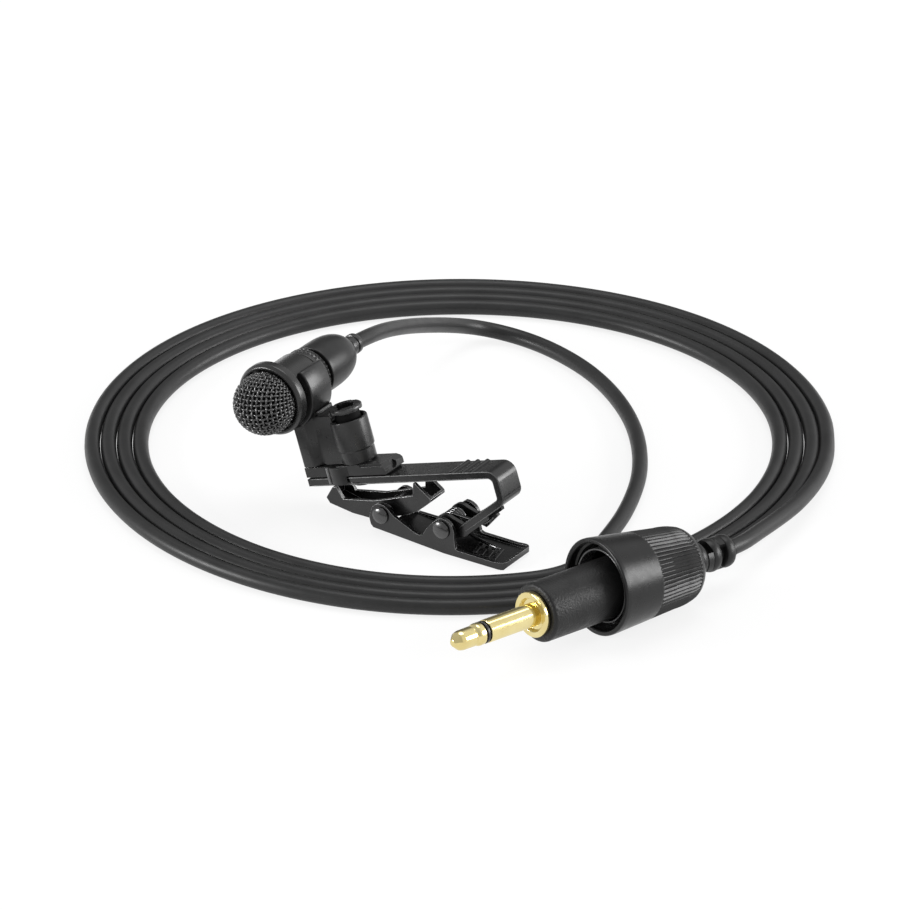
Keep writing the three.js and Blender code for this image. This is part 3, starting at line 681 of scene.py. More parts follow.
@dataclass(frozen=True)
class Easing:
    """How a part from the CAD gets eased edges: its loose triangles are merged into flat faces, and
    a bevel rounds the corners between them. Lengths are metres, angles degrees."""

    merge: float = 3e-6
    sliver: float = 2e-6
    flat: float = 0.6
    sharp: float = 30
    corner: float = 32
    segments: int = 3

    def copy(
        self,
        node: str,
        name: str,
        finish: Finish,
        body: str,
        edge: float,
        edge_finish: Finish,
        adjust: Optional[Callable[[Array], Array]] = None,
    ) -> Piece:
        """Copies and eases a part.

        Args:
            node: the CAD node that it is copied from and stands for.
            name: the piece's name.
            finish: its finish.
            body: the body that it moves with.
            edge: the bevel's width in millimetres.
            edge_finish: the finish of the bevels, a lighter grey that paints a highlight along the
                edges.
            adjust: moves the corners a little before they are eased.

        Returns:
            The piece.
        """
        edit = bmesh.new()
        edit.from_mesh(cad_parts[node].data)
        bmesh.ops.remove_doubles(edit, verts=edit.verts, dist=self.merge)
        bmesh.ops.dissolve_degenerate(edit, edges=edit.edges, dist=self.sliver)
        bmesh.ops.dissolve_limit(
            edit, angle_limit=math.radians(self.flat), verts=edit.verts, edges=edit.edges
        )
        corners = np.array([tuple(vert.co) for vert in edit.verts])
        edit.verts.index_update()
        faces = [[vert.index for vert in face.verts] for face in edit.faces]
        edit.free()
        mesh = bpy.data.meshes.new(name)
        mesh.from_pydata((adjust(corners) if adjust else corners).tolist(), [], faces)
        made = settle(mesh, finish, body, [node], self.sharp)
        bevel = made.modifiers.new("eased_edges", "BEVEL")
        bevel.width = edge * MM
        bevel.segments = self.segments
        bevel.limit_method = "ANGLE"
        bevel.angle_limit = math.radians(self.corner)
        bevel.harden_normals = True
        bevel.use_clamp_overlap = True
        # The bevels get the second material, the edge finish, whose lighter grey paints a highlight
        # along the edges.
        mesh.materials.append(edge_finish.material())
        bevel.material = 1
        return made


def dress(node: str, finish: Finish) -> None:
    """Gives a CAD node that keeps its shape a better finish.

    Args:
        node: the node.
        finish: its finish.
    """
    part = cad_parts[node]
    part.data.materials.clear()
    part.data.materials.append(finish.material())
    log.info("%s: dressed in %s", node, finish.name)


# ---------------------------------------------------------------- cable


@dataclass
class Cable:
    """The cable: from the boot, inside the ring, round the coil, to the plug. Lengths in metres."""

    radius: float = 0.0012
    exit: Point = (-0.01722, 0.014625, 0.01791)
    centre: Span = (-0.004187, 0.022513)
    start_radius: float = 0.04641
    pitch: float = 0.00244
    turns: float = 3.78
    start_angle: float = -39.0
    two_lobes: Span = (0.00078, 40.0)
    three_lobes: Span = (0.0003, 63.0)
    length: float = 1.404
    step: float = 0.0012
    per_turn: int = 48
    per_span: int = 12
    passes: int = 6

    LEAD = (
        (-0.01722, 0.0137, 0.01791), (-0.01722, 0.01495, 0.01788), (-0.0175, 0.018, 0.0173),
        (-0.0188, 0.0247, 0.0153), (-0.0206, 0.034, 0.0117), (-0.022, 0.0428, 0.0079),
        (-0.0226, 0.0505, 0.0045), (-0.0215, 0.0556, 0.0023), (-0.0185, 0.0577, 0.0014),
        (-0.0144, 0.058, 0.0012), (-0.0099, 0.0573, 0.0012), (-0.0051, 0.0559, 0.0012),
        (-0.0001, 0.0538, 0.0012), (0.0051, 0.0507, 0.0012), (0.01045, 0.0466, 0.0012),
        (0.0157, 0.0415, 0.0012), (0.0206, 0.0353, 0.0012), (0.0248, 0.0285, 0.0012),
        (0.0279, 0.0215, 0.0012), (0.0302, 0.0147, 0.0012), (0.0316, 0.0085, 0.0012),
        (0.0328, 0.0029, 0.0012), (0.033, -0.0022, 0.0012),
    )
    TAIL = (
        (0.0424, 0.054, 0.00122), (0.0455, 0.0487, 0.0013), (0.048, 0.0428, 0.00175),
        (0.05, 0.0363, 0.0023), (0.0515, 0.0292, 0.003), (0.0524, 0.0217, 0.0039),
        (0.053, 0.0154, 0.0047), (0.05335, 0.0122, 0.00505), (0.0532, 0.0094, 0.00533),
        (0.05282, 0.00818, 0.00543),
    )

    def lobed(self, angle: Array, number: int, lobes: Span) -> Array:
        """How far a wave with a number of lobes, an amplitude and a start reaches at an angle."""
        return lobes[0] * np.cos(number * (angle - math.radians(lobes[1])))

    def coil(self) -> Array:
        """Lays the coil.

        The angle falls from the start by a whole turn per turn. The radius is the start radius,
        plus the pitch for each turn, plus a two-lobed and a three-lobed cosine of the angle, as the
        coil was laid by hand.

        Returns:
            Its centreline.
        """
        turn = np.linspace(0, self.turns, round(self.turns * self.per_turn) + 1)
        angle = math.radians(self.start_angle) - 2 * math.pi * turn
        uneven = self.lobed(angle, 2, self.two_lobes) + self.lobed(angle, 3, self.three_lobes)
        radius = self.start_radius + uneven + self.pitch * turn
        flat = self.centre + radius[:, None] * ray(angle)
        return np.column_stack([flat, np.full_like(radius, self.radius)])

    def build(self) -> Piece:
        """Lays the cable as one curve with a round section.

        Returns:
            The cable.
        """
        route = np.vstack([self.LEAD, self.coil(), self.TAIL])
        line = relaxed(evenly(smooth_line(route, self.per_span), self.step), self.passes)
        line[:, 2] = np.maximum(line[:, 2], self.radius)
        curve = bpy.data.curves.new("cable", "CURVE")
        curve.dimensions = "3D"
        curve.bevel_depth = self.radius
        curve.bevel_resolution = 7
        spline = curve.splines.new("POLY")
        spline.points.add(len(line) - 1)
        points = np.column_stack([line, np.ones(len(line))])
        spline.points.foreach_set("co", points.astype(np.float32).ravel())
        spline.use_smooth = True
        curve.materials.append(CABLE_BLACK.material())
        cable = bpy.data.objects.new("cable", curve)
        bpy.context.scene.collection.objects.link(cable)
        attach(cable, "microphone")
        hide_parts("cord_lead", "cord_coil", "cord_tail")
        log.info("cable: %d points", len(line))
        return cable


# ---------------------------------------------------------------- microphone


@dataclass
class Microphone:
    """Head, neck, knurled ring, boot and ferrule, turned about one axis.

    The outlines' corners are (radius, distance back from the head's rim, rounding).
    """

    rim: Point = (-17.22, -8.775, 17.91)
    body: str = "microphone"
    ball_radius: float = 4.85
    ball_centre: float = -1.0
    wire: float = 0.175
    wire_sides: int = 6
    wire_steps: int = 132
    wave: float = 0.13
    mesh_pitch: float = 0.74
    mesh_turn: float = 8.0
    mesh_reach: float = 8.35
    knurl_starts: int = 36
    knurl_zero: float = 9.4
    knurl_climb: float = 1.2
    knurl_depth: float = 0.26
    knurl_span: Span = (9.35, 10.5)
    knurl_fade: float = 0.1
    knurl_floor: float = 3.95
    dot_width: float = 0.8
    key_turn: float = 35.0
    key_levels: tuple[float, ...] = (11.2, 11.2, 11.28, 12.1, 12.2, 12.2)
    key_scales: tuple[float, ...] = (0.0, 0.9, 1.0, 1.0, 0.9, 0.0)

    HOUSING: Outline = (
        (4.92, 0.1, 0.08), (5.3, -0.02, 0.3), (5.7, 0.55, 0.5), (5.7, 1.8, 0.14), (4.35, 1.8, 0.1),
        (4.35, 8.4, 0.15), (3.95, 8.4, 0.05), (3.95, 1.3, 0.05), (4.92, 1.3, 0.05),
    )
    RING: Outline = ((3.6, 8.7, 0.05), (4.17, 8.7, 0.15), (4.17, 10.6, 0.15), (3.6, 10.6, 0.05))
    BOOT: Outline = (
        (1.8, 6.4, 0.05), (3.3, 6.4, 0.1), (3.3, 10.5, 0.05), (2.5, 10.5, 0.05),
        (2.5, 11.5, 0.05), (3.98, 11.5, 0.2), (3.98, 13.0, 0), (1.8, 13.0, 0),
    )
    DOME = (
        (3.98, 12.6), (3.98, 14.0), (3.9, 16.0), (3.64, 17.6), (3.18, 18.9), (2.5, 19.95),
        (1.8, 20.55), (1.3, 20.72),
    )
    BORE = ((1.3, 15.0), (1.8, 13.0))
    KEY: Block = ((-0.6, 2.1), (0.6, 3.75), 0.15)
    FERRULE: Outline = (
        (0, 16.0, 0), (1.0, 16.0, 0.1), (1.0, 21.0, 0), (1.62, 21.0, 0.12), (1.62, 21.95, 0.12),
        (1.38, 22.05, 0.05), (1.38, 22.4, 0.05), (1.6, 22.5, 0.12), (1.6, 23.4, 0.3), (0, 23.4, 0),
    )

    @property
    def place(self) -> Place:
        """The microphone's own frame."""
        return Place(self.rim)

    def woven_wires(self, turn: float, phase: float) -> Array:
        """One of the mesh's two families of wires.

        In the flat cloth a wire is a straight line, and rises and falls as a cosine with one half
        wave per crossing. The flat distance from the middle becomes the same arc over the ball,
        with its direction kept.

        Args:
            turn: the family's direction in the cloth, in radians.
            phase: 0 or 1, whether the first crossing is over or under.

        Returns:
            Points of wires by steps by sides by 3.
        """
        count = int(self.mesh_reach / self.mesh_pitch)
        number = np.arange(-count, count + 1)[:, None]
        across = number * self.mesh_pitch
        half = np.sqrt(np.maximum(self.mesh_reach**2 - across**2, 0.2))
        along = half * np.linspace(-1, 1, self.wire_steps)[None, :]
        lift = np.cos(math.pi * (along / self.mesh_pitch + number + phase))
        u = along * math.cos(turn) - across * math.sin(turn)
        v = along * math.sin(turn) + across * math.cos(turn)
        flat = np.maximum(np.hypot(u, v), 1e-9)
        mean = self.ball_radius - self.wire - self.wave
        angle = flat / mean
        outward = [np.sin(angle) * u / flat, -np.cos(angle), np.sin(angle) * v / flat]
        outward = np.stack(outward, -1)
        line = (mean + self.wave * lift)[..., None] * outward + [0, self.ball_centre, 0]
        run = unit(np.gradient(line, axis=1))
        beside = unit(np.cross(run, outward))
        above = np.cross(beside, run)
        side = np.linspace(0, 2 * math.pi, self.wire_sides, endpoint=False)[:, None]
        ring = np.cos(side) * beside[:, :, None] + np.sin(side) * above[:, :, None]
        return line[:, :, None] + self.wire * ring

    def build_grille(self) -> None:
        """Weaves the ball from two crossing families of wires."""
        shell = Shell(self.place)
        for phase in (0, 1):
            for wire in self.woven_wires(math.radians(self.mesh_turn + 90 * phase), phase):
                shell.grid(wire)
        shell.piece("woven_grille", WIRE_BLACK, self.body, ["grille_dome"], sharp=80)

    def build_housing(self) -> None:
        """Turns the head ring and neck, with a crowned front edge and an eased back edge."""
        shell = Shell(self.place).turned(filleted(self.HOUSING), segments=128)
        shell.piece("head_and_neck", HOUSING_BLACK, self.body, ["mic_housing"])

    def knurl(self, angle: Array, along: Array, radius: Array) -> Array:
        """The radius of the ring with its dotted knurl.

        The depth is the product of two sines, whose lines wind round the ring in opposite
        directions, and fades out at the ring's ends.

        Args:
            angle: the angle round the axis.
            along: the distance along it.
            radius: the plain radius.

        Returns:
            The radius with the knurl.
        """
        across = self.knurl_starts * angle
        climb = 2 * math.pi * (along - self.knurl_zero) / self.knurl_climb
        sines = np.sin((across + climb) / 2) * np.sin((across - climb) / 2)
        inside = faded(along, self.knurl_span, self.knurl_fade) * (radius > self.knurl_floor)
        return radius - self.knurl_depth * inside * (1 - np.abs(sines) ** self.dot_width)

    def build_knurled_ring(self) -> None:
        """Turns the ring behind the neck."""
        profile = refined(filleted(self.RING), longest=0.075)
        shell = Shell(self.place).turned(profile, segments=360, ripple=self.knurl)
        shell.piece("dotted_knurl_ring", WORN_BLACK, self.body, ["knurled_ring"], sharp=60)

    def build_boot(self) -> None:
        """Turns the bullet-shaped boot: a spigot, a narrow groove, and a blunt dome. Its key is a
        rounded outline carried along the axis between closed ends."""
        front = filleted(self.BOOT)[: -2 * (ARC + 1)]
        profile = np.vstack([front, smooth_line(np.array(self.DOME), per_span=5), self.BORE])
        shell = Shell(self.place).turned(profile, segments=128)
        outline = spun(rectangle(*self.KEY), self.key_turn)
        middle = outline.mean(0)
        section = middle + (outline - middle) * np.array(self.key_scales)[:, None, None]
        stations = np.array(self.key_levels)[:, None] + 0 * section[..., 0]
        shell.grid(np.stack([section[..., 0], stations, section[..., 1]], -1))
        shell.piece("bullet_boot", MOULDED, self.body, ["cable_boot"])

    def build_ferrule(self) -> None:
        """Turns the ferrule at the boot's end: a collar, a waist and a rounded lip."""
        profile = filleted(self.FERRULE)
        shell = Shell(self.place).turned(profile, segments=48, closed=False)
        shell.piece("cable_ferrule", RUBBER_BLACK, self.body, ["boot_ferrule"])

    def build(self) -> None:
        """Builds the microphone's pieces and dresses what is inside it."""
        self.build_grille()
        self.build_housing()
        self.build_knurled_ring()
        self.build_boot()
        self.build_ferrule()
        dress("pop_filter_liner", FOAM_BLACK)
        dress("capsule", NICKEL)
        dress("capsule_seal", RUBBER_BLACK)


# ---------------------------------------------------------------- clip


@dataclass
class Clip:
    """The snap ring on its socket, the split post, the folded strap, and the sprung lever and jaw.

    A plan's corners are (along the strap, across it, rounding), those of the socket (radius,
    height, rounding), and those of the strap's edge (along it, square to it, rounding).
    """

    heel: Point = (-12.08, -3.255, 3.68)
    tilt: float = 17.7
    post_at: float = 8.8
    lever_pin: Point = (12.33, -3.255, 3.88)
    jaw_pin: Point = (1.55, -3.255, 3.25)
    ring_centre: Span = (-0.6, 15.1)
    ring_inner: float = 4.65
    ring_outer: float = 6.0
    ring_mouth: float = 62.0
    stem_foot: float = 3.06
    stem_top: float = 11.5
    spring_wire: float = 0.25
    spring_radius: float = 1.55
    spring_turns: float = 3.5
    spring_pitch: float = 0.56
    rivet_half: float = 3.8
    rivet_dome: float = 0.65
    rivet_rim: float = 0.12
    shadow_pad_levels: Span = (1.08, 1.43)
    boss_levels: Span = (0.3, 2.86)
    lip_levels: Span = (11.1, 11.7)
    lip_sweep: Span = (222.0, 552.0)
    lip_outer: float = 2.52
    lip_inner: float = 1.62
    lip_hole: Span = (8.5, -0.15)
    half_width: float = 2.6
    stem_reach: float = 5.3
    web_start: Span = (4.15, 2.2)
    web_radius: float = 2.7
    web_bend: float = 54.0
    web_levels: Span = (3.2, 11.0)
    rib_turn: float = 11.0
    rib_levels: Span = (-3.4, -2.94)
    rib_first: Span = (4.6, -0.5)
    rib_pitch: Span = (1.2, -0.15)
    bead: float = 0.1
    bead_across: float = -2.4
    bead_offset: float = 0.5

    STEM: Outline = (
        (0, -2.6, 0.45), (2.1, -2.6, 1.1), (3.3, -1.6, 0.6), (4.6, -1.6, 0), (4.6, 2.5, 0.3),
        (0, 2.5, 0.5),
    )
    SOCKET: Outline = (
        (2.5, 3.2, 0.05), (2.72, 3.2, 0.1), (2.72, 5.1, 0.1), (2.9, 5.3, 0.1), (2.9, 9.9, 0.2),
        (2.45, 9.9, 0.2),
    )
    STRAP: Outline = ((0.3, 0.55, 0), (34.6, 0.55, 1.3), (34.6, -3.77, 1.2), (25.6, -8.17, 0))
    SHADOW_PAD: Block = ((0.3, -2.15), (14.6, 2.15), 0.3)
    BOSS: Block = ((3.99, -2.78), (4.55, -2.22), 0.2744)
    NECK: Block = ((1.6, 9.3), (1.95, 11.1), 0.04)
    RIB: Block = ((-0.34, -1.85), (0.34, 1.85), 0.12)
    TRAY_LEG = ((8.2, -0.1, -2.6), (5.6, 0.4, -2.6), (3.4, 0.84, -2.55), (1.6, 0.95, -1.9))
    STRAP_LEG = ((1.9, 1.5), (3.5, 1.45), (4.9, 1.35), (5.9, 1.5), (7.4, 2.9))
    COLLET_LEVELS = ((10.7, 11.05), (10.0, 9.4))

    @property
    def place(self) -> Place:
        """The strap's own frame: along the strap, across it, and square to it."""
        return Place.tilted(self.heel, self.tilt)

    @property
    def post(self) -> Place:
        """The post's frame.

        Returns:
            The frame, whose length runs up the post.
        """
        strap = self.place
        origin = strap.world(np.array([self.post_at, 0, 0]))
        return Place(tuple(origin), strap.side, strap.up, tuple(-np.asarray(strap.along)))

    def raised_collet(self, corners: Array) -> Array:
        """Moves the foot's corners at some heights over the strap, for a thin lip and low shoulder.

        Args:
            corners: the corners, in metres.

        Returns:
            The moved corners.
        """
        place = self.place
        local = (corners / MM - place.origin) @ np.array([place.side, place.along, place.up]).T
        for old, new in self.COLLET_LEVELS:
            local[:, 2] = np.where(np.abs(local[:, 2] - old) < 0.02, new, local[:, 2])
        return place.world(local) * MM

    def build_foot(self) -> None:
        """Eases the foot with bevels in a lighter grey that paints a highlight. Lays a black pad in
        the gap under it as painted shadow. Lines its boss with a rod in that lighter grey, as a
        painted highlight, and gives its collet a lip over a black neck, as painted shade.
        """
        Easing().copy(
            "swivel_base", "swivel_foot", HOLDER_MOULDED, "clip", 0.16, HOLDER_EDGE_HIGHLIGHT,
            self.raised_collet,
        )
        sweep = ray(np.radians(np.linspace(*self.lip_sweep, 60)))
        outside = [self.post_at, 0] + self.lip_outer * sweep
        lip = np.vstack([outside, self.lip_hole + self.lip_inner * sweep[::-1]])
        # The pad is a black sheet that paints the shadow in the gap under the foot; the neck is
        # black to paint the shade under the lip.
        pad = Shell(self.place).prism(rectangle(*self.SHADOW_PAD), *self.shadow_pad_levels, rounding=0.02)
        # The boss's edge rod is in the lighter grey: a painted highlight along it.
        edge = Shell(self.place).prism(rectangle(*self.BOSS), *self.boss_levels, rounding=0.1)
        lip = Shell(self.place).prism(lip, *self.lip_levels, rounding=0.14)
        neck = Shell(self.post).turned(rectangle(*self.NECK), segments=64)
        pad.piece("foot_gap_painted_shadow", PAINTED_SHADE_BLACK, "clip")
        edge.piece("boss_edge_highlight", HOLDER_EDGE_HIGHLIGHT, "clip")
        lip.piece("collet_lip", WORN_BLACK, "clip")
        neck.piece("collet_neck_painted_shade", PAINTED_SHADE_BLACK, "clip")

    def build_strap_edges(self) -> None:
        """Lays a fine bead along the strap's long near edges, in a grey lighter than the coat that
        paints a highlight on them.
        """
        steps = 8
        path = evenly(filleted(self.STRAP, steps)[steps:-steps], 3 * self.bead)
        run = unit(np.gradient(path, axis=0))
        square = np.stack([-run[:, 1], run[:, 0]], 1)
        shell = Shell(self.place)
        for offset in (self.bead_offset, -self.bead_offset):
            line = path + offset * square
            shell.tube(np.insert(line, 1, self.bead_across, axis=1), self.bead, sides=8)
        shell.piece("strap_highlight_edges", EDGE_HIGHLIGHT_BLACK, "clip")

    def round_lip(self, angle: float, start: float) -> Array:
        """The half circle that closes the snap ring's band at one side of its mouth.

        Args:
            angle: where the lip is, in radians.
            start: how far the half circle's first radius is turned from there.

        Returns:
            Its points, about the ring's centre.
        """
        cap = np.linspace(0, math.pi, 12)[1:-1]
        at = (self.ring_outer + self.ring_inner) / 2 * ray(angle)
        return at + (self.ring_outer - self.ring_inner) / 2 * ray(angle + start + cap)

    def build_holder(self) -> None:
        """Builds the snap ring with round lips, the stem with its groove, the web and the socket.

        The ring is a band between two arcs about the microphone's axis, open at the top. The stem
        ends inside the ring's wall, and the web inside the socket's.
        """
        shell = Shell(self.place)
        sweep = np.radians(np.linspace(90 + self.ring_mouth, 450 - self.ring_mouth, 72))
        arcs = [
            self.ring_outer * ray(sweep), self.round_lip(sweep[-1], 0),
            self.ring_inner * ray(sweep[::-1]), self.round_lip(sweep[0], math.pi),
        ]
        band = self.ring_centre + np.vstack(arcs)
        shell.prism(band, -self.half_width, self.half_width, rounding=0.22, order=(0, 2, 1))
        plan = filleted(self.STEM)
        aside = plan[:, 0] - self.ring_centre[0]
        reach = np.sqrt(np.maximum(self.stem_reach**2 - aside**2, 0))
        top = np.minimum(self.ring_centre[1] - reach, self.stem_top)
        shell.prism(plan, self.stem_foot, top, rounding=0.14)
        bend = ray(np.radians(np.linspace(-self.web_bend, self.web_bend, 12)))
        bend = bend * [-self.web_radius, self.web_radius] + [self.post_at, 0]
        x, y = self.web_start
        web = np.vstack([[(x, -y)], bend, [(x, y)]])
        shell.prism(web, *self.web_levels, rounding=0.12)
        shell.piece("snap_ring_and_stem", HOLDER_MOULDED, "holder", ["mic_holder"])
        socket = Shell(self.post).turned(filleted(self.SOCKET))
        socket.piece("swivel_socket", HOLDER_MOULDED, "holder")

    def build_tray_ribs(self) -> None:
        """Adds the four grip ribs on the tray's floor, as bars over the CAD's plain ones."""
        shell = Shell(Place(self.lever_pin))
        bar = spun(rectangle(*self.RIB), self.rib_turn)
        for number in range(4):
            at = self.rib_first + number * np.array(self.rib_pitch)
            shell.prism(bar + at, *self.rib_levels, rounding=0.1)
        shell.piece("tray_ribs", COATED, "lever")

    def build_rivet(self, pin: Point, radius: float, head: float, name: str, node: str) -> None:
        """Turns a rivet: a pin with a low dome on each end, whose profile is part of an ellipse.

        Args:
            pin: the middle of the rivet.
            radius: half the pin's thickness.
            head: the head's radius.
            name: the piece's name.
            node: the CAD node that it stands for.
        """
        half, rim = self.rivet_half, self.rivet_rim
        dome = ray(np.linspace(0, math.pi / 2, 12)) * [head, self.rivet_dome - rim]
        foot = [(radius, half), (head - 0.05, half), (head, half + 0.06)]
        right = np.vstack([foot, dome + [0, half + rim]])
        profile = np.vstack([right[::-1] * [1, -1], right])
        shell = Shell(Place(pin)).turned(profile, segments=64, closed=False)
        shell.piece(name, RIVET_BLACK, "lever", [node])

    def build_spring(self) -> None:
        """Winds the torsion spring: a helix about the lever's pin, between a leg on the tray and a
        leg under the strap."""
        half = self.spring_turns * self.spring_pitch / 2
        share = np.linspace(0, 1, round(self.spring_turns * 16) + 1)
        circle = self.spring_radius * ray(-math.pi / 2 - 2 * math.pi * self.spring_turns * share)
        helix = np.stack([circle[:, 0], half - 2 * half * share, circle[:, 1]], 1)
        strap_leg = np.insert(np.array(self.STRAP_LEG), 1, -half, axis=1)
        line = smooth_line(np.vstack([self.TRAY_LEG, helix, strap_leg]), per_span=6)
        shell = Shell(Place(self.lever_pin)).tube(line, self.spring_wire, sides=12)
        shell.piece("wound_spring", SPRING_STEEL, "lever", ["torsion_spring"], sharp=80)

    def build(self) -> None:
        """Builds the clip's pieces."""
        ease = Easing().copy
        self.build_holder()
        self.build_tray_ribs()
        self.build_foot()
        # The strap, lever and jaw are eased with bevels in a lighter grey, a painted highlight on
        # their edges.
        ease("clip_strap", "folded_strap", COATED, "clip", 0.17, COATED_EDGE_HIGHLIGHT)
        self.build_strap_edges()
        ease("clip_lever", "finger_lever", COATED, "lever", 0.16, COATED_EDGE_HIGHLIGHT)
        ease("clip_jaw", "lower_jaw", COATED, "jaw", 0.16, COATED_EDGE_HIGHLIGHT)
        self.build_rivet(self.lever_pin, 0.9, 1.45, "lever_rivet", "lever_pin")
        self.build_rivet(self.jaw_pin, 0.8, 1.35, "jaw_rivet", "jaw_pin")
        self.build_spring()
        dress("base_rivet", RIVET_BLACK)


# ---------------------------------------------------------------- plug


@dataclass
class Plug:
    """The jack plug: gold contacts, the insert that carries them, and the ringed relief behind it.

    The outlines' corners are (radius, distance from the collar's mouth to the cable, rounding).
    """

    mouth: Point = (45.07, -15.92, 6.8)
    axis: Point = PLUG_AXIS
    body: str = "microphone"
    relief_start: Point = (50.53, 0.8, 6.02)
    relief_end: Point = (53.03, 8.85, 5.38)
    relief_back: float = -1.6
    relief_step: float = 0.09
    core: float = 1.4
    full: float = 2.65
    taper: float = 0.07
    crown: float = 0.22
    pitch: float = 2.75
    first: float = 0.4
    thick: float = 1.6
    wall: float = 0.12
    bridge: float = 0.93
    bridge_side: float = 0.72
    bridge_slope: float = 0.08

    TIP: Outline = (
        (0, -27.8, 0), (0.5, -27.72, 0.3), (1.35, -26.8, 0.6), (1.5, -26.2, 0.5),
        (1.53, -24.15, 0.08), (1.24, -23.85, 0.12), (1.62, -23.45, 0.12), (1.7, -23.2, 0.1),
        (1.7, -22.45, 0.06), (0.5, -22.45, 0), (0.5, -9.0, 0), (0, -9.0, 0),
    )
    RING: Outline = (
        (0.8, -22.15, 0.04), (1.7, -22.15, 0.04), (1.7, -21.75, 0.04), (1.05, -21.75, 0.04),
        (1.05, -10, 0.04), (0.8, -10, 0.04),
    )
    SLEEVE: Outline = (
        (1.35, -21.45, 0.05), (1.75, -21.45, 0.12), (1.75, -12.1, 0.04), (2.3, -12.1, 0.06),
        (2.62, -12.72, 0.1), (3.45, -12.72, 0.16), (3.45, -11.85, 0.08), (2.1, -11.85, 0),
        (2.1, -8.5, 0), (1.35, -8.5, 0),
    )
    INSERT: Outline = (
        (2.4, -11.7, 0.05), (4.5, -11.7, 0.55), (4.5, 13.6, 0.4), (2.6, 15.6, 0.3), (0, 15.6, 0),
        (0, -7.0, 0), (2.4, -7.0, 0),
    )

    def turn(
        self,
        outline: Outline,
        sides: int,
        name: str,
        finish: Finish,
        node: str,
        closed: bool = True,
    ) -> Piece:
        """Turns one of the plug's plain pieces.

        Args:
            outline: its corners.
            sides: how many sides its circle has.
            name: the piece's name.
            finish: its finish.
            node: the CAD node that it stands for.
            closed: whether the outline is a loop.

        Returns:
            The piece.
        """
        shell = Shell(Place.facing(self.mouth, self.axis))
        return shell.turned(filleted(outline), sides, closed).piece(name, finish, self.body, [node])

    def ringed(self, angle: Array, along: Array, radius: Array) -> Array:
        """The relief's radius.

        The rings' shares of the full radius run along the length, and the bridges' shares run round
        it and turn a quarter from one gap to the next; the radius takes the larger of the two.

        Args:
            angle: the angle round the axis.
            along: the distance along it.
            radius: the core's radius, or 0 on the axis.

        Returns:
            The radius with rings and bridges.
        """
        number = np.clip(np.floor((along - self.first) / self.pitch), -1, 3)
        within = (along - self.first) - number * self.pitch
        ring = np.clip((self.thick - within) / self.wall + 0.5, 0, 1)
        ring = ring * np.clip(within / self.wall + 0.5, 0, 1)
        ring = np.where((number >= 0) & (number <= 2), ring, 0)
        beside = np.abs(np.cos(angle + number * math.pi / 2)) - self.bridge_side
        arms = np.clip(beside / self.bridge_slope, 0, 1)
        arms = np.where((number >= -1) & (number <= 1), arms * self.bridge, 0)
        full = self.full - self.taper * np.clip((along - self.first) / self.pitch, 0, 2)
        full = full - self.crown * (2 * (within / self.thick - 0.5)) ** 2 * ring
        share = np.maximum(ring, arms)
        return np.where(radius > 0.5, self.core + (full - self.core) * share, radius)

    def build_relief(self) -> Piece:
        """Turns the relief: a slim core under three rings, with two bridges between neighbours.

        Returns:
            The relief.
        """
        run = Vector(self.relief_end) - Vector(self.relief_start)
        steps = math.ceil((run.length - self.relief_back) / self.relief_step)
        along = np.linspace(self.relief_back, run.length, steps + 1)
        side = np.stack([np.full_like(along, self.core), along], 1)
        profile = np.vstack([[(0, self.relief_back)], side, [(0, run.length)]])
        shell = Shell(Place.facing(self.relief_start, tuple(run)))
        return shell.turned(profile, segments=120, closed=False, ripple=self.ringed).piece(
            "slotted_relief", RELIEF_BLACK, self.body, ["plug_strain_relief"], sharp=50
        )

    def build(self) -> list[Piece]:
        """Builds the plug's fixed pieces.

        Returns:
            The tip, the insulating ring, the sleeve with its flange, the insert and the relief.
        """
        return [
            self.turn(self.TIP, 72, "gold_tip", GOLD, "plug_tip", closed=False),
            self.turn(self.RING, 72, "insulating_ring", RUBBER_BLACK, "tip_insulator"),
            self.turn(self.SLEEVE, 96, "gold_sleeve", GOLD, "plug_sleeve"),
            self.turn(self.INSERT, 96, "plug_insert", INSERT_BLACK, "plug_barrel"),
            self.build_relief(),
        ]


